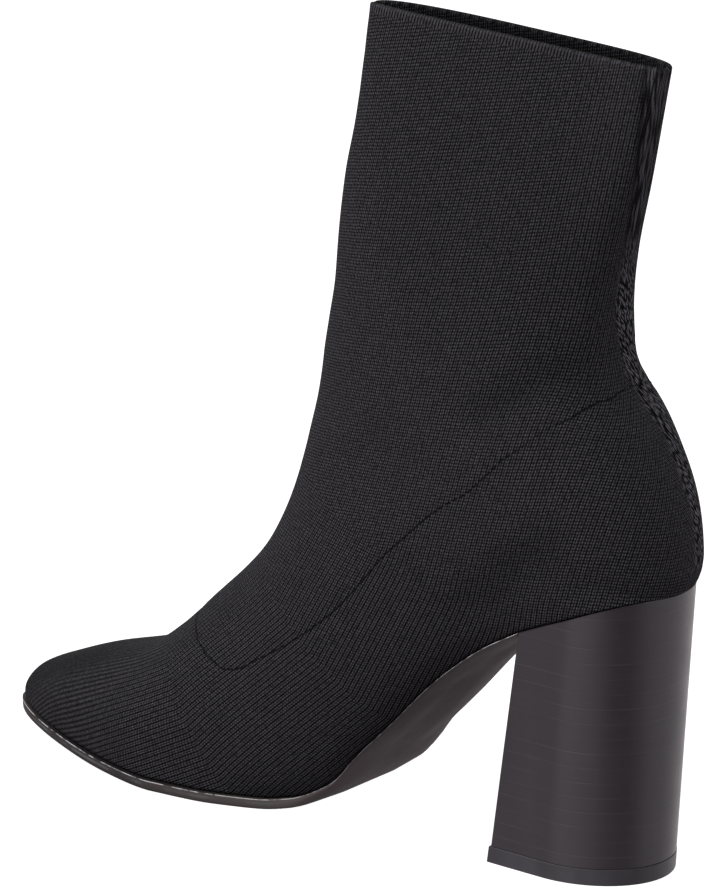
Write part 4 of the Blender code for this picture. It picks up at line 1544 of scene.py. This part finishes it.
def heel_block(material):
    """The block from the lift up to the seat."""
    low = LIFT_THICKNESS + LIFT_GAP
    rings = []
    for share in np.linspace(0.0, 1.0, 6):
        ring = []
        for x, y in heel_plan():
            high = sole_height(x) - SEAT_GAP
            ring.append(heel_point(x, y, between(low, high, share)))
        rings.append(ring)
    piece = loft("stacked_heel_block", rings, material, smooth_angle=40.0)
    soften_edges(piece, width=0.15)
    return dress(piece, "heel", "heel_block")


def top_lift(material):
    """The tread piece under the block, with a slight lip in front."""
    levels = np.linspace(0.0, LIFT_THICKNESS, 3)
    rings = [[heel_point(x, y, z, LIFT_LIP) for x, y in heel_plan()] for z in levels]
    piece = loft("heel_top_lift", rings, material, smooth_angle=40.0)
    soften_edges(piece, width=0.12)
    return dress(piece, "lift", "top_lift")


# Setting


def floor(material):
    bpy.ops.mesh.primitive_plane_add(size=FLOOR_SIZE, location=(0.0, 0.0, 0.0))
    plane = bpy.context.object
    plane.name = "floor"
    plane.data.materials.append(material)
    plane.visible_glossy = False
    plane.visible_diffuse = False


def toward(tree, direction, azimuth):
    """How far a direction of view points to this azimuth, in degrees from +X."""
    aim = node(tree, "ShaderNodeVectorMath", operation="DOT_PRODUCT")
    tree.links.new(direction, aim.inputs[0])
    angle = math.radians(azimuth)
    aim.inputs[1].default_value = (math.cos(angle), math.sin(angle), 0.0)
    return aim.outputs["Value"]


def studio_light():
    """Even white surroundings, dimmer behind the boot's heel, dark cards low down that the heel mirrors,
    and one broad soft light from the toe's side."""
    world = bpy.data.worlds.new("studio")
    bpy.context.scene.world = world
    world.use_nodes = True
    tree = world.node_tree
    direction = node(tree, "ShaderNodeTexCoord").outputs["Generated"]
    height = node(tree, "ShaderNodeSeparateXYZ", {"Vector": direction}).outputs["Z"]
    over = fade(tree, toward(tree, direction, 205.0), 0.1, 0.95, 1.0, 0.42)
    under = times(
        tree,
        fade(tree, toward(tree, direction, 143.0), 0.72, 0.92, 1.0, 0.12),
        fade(tree, toward(tree, direction, 28.0), 0.73, 0.9, 1.0, 0.33),
        fade(tree, height, -0.75, -0.33, 0.2, 1.0),
        fade(tree, toward(tree, direction, 78.0), 0.86, 0.95, 1.0, 1.5),
    )
    horizon = fade(tree, height, -0.03, 0.03)
    background = tree.nodes["Background"]
    tree.links.new(mix_values(tree, horizon, under, over), background.inputs["Strength"])
    tint = blend_colours(tree, horizon, tinted(1.0, LOW_LIGHT_TINT), tinted(1.0, WHITE))
    tree.links.new(tint, background.inputs["Color"])
    key = bpy.data.lights.new("key", "AREA")
    key.shape = "RECTANGLE"
    key.size, key.size_y = KEY_SIZE
    key.energy = KEY_POWER
    lamp = bpy.data.objects.new("key", key)
    bpy.context.scene.collection.objects.link(lamp)
    lamp.location = KEY_PLACE
    lamp.rotation_euler = (VIEW_TARGET - KEY_PLACE).to_track_quat("-Z", "Y").to_euler()


def camera():
    azimuth = math.radians(VIEW_AZIMUTH)
    elevation = math.radians(VIEW_ELEVATION)
    level = math.cos(elevation)
    back = Vector((math.sin(azimuth) * level, -math.cos(azimuth) * level, math.sin(elevation)))
    right = Vector((math.cos(azimuth), math.sin(azimuth), 0.0))
    up = back.cross(right)
    aside = (IMAGE_WIDTH / 2 - TARGET_PIXEL[0]) / PIXELS_PER_METRE
    below = (IMAGE_HEIGHT / 2 - TARGET_PIXEL[1]) / PIXELS_PER_METRE
    aim = VIEW_TARGET + right * aside - up * below
    data = bpy.data.cameras.new("camera")
    data.sensor_width = SENSOR
    data.lens = PIXELS_PER_METRE * VIEW_DISTANCE * SENSOR / IMAGE_HEIGHT
    eye = bpy.data.objects.new("camera", data)
    bpy.context.scene.collection.objects.link(eye)
    eye.location = VIEW_TARGET + back * VIEW_DISTANCE
    eye.rotation_euler = (aim - eye.location).to_track_quat("-Z", "Y").to_euler()
    bpy.context.scene.camera = eye


camera()
studio_light()
floor(floor_finish())
stitches_group = knit_stitches_group()
grain_group = fine_grain_group()
seams = [seam_line(side) for side in (1, -1)]
knit_upper(black_knit(stitches_group, grain_group), [line for line, normals in seams])
seam_stitches(seam_thread_finish(grain_group), seams)
outsole(smooth_sole_finish(grain_group))
insole(insole_finish(grain_group))
heel_block(stacked_heel_finish(grain_group))
top_lift(lift_finish(grain_group))
bpy.context.scene.view_settings.view_transform = "Standard"
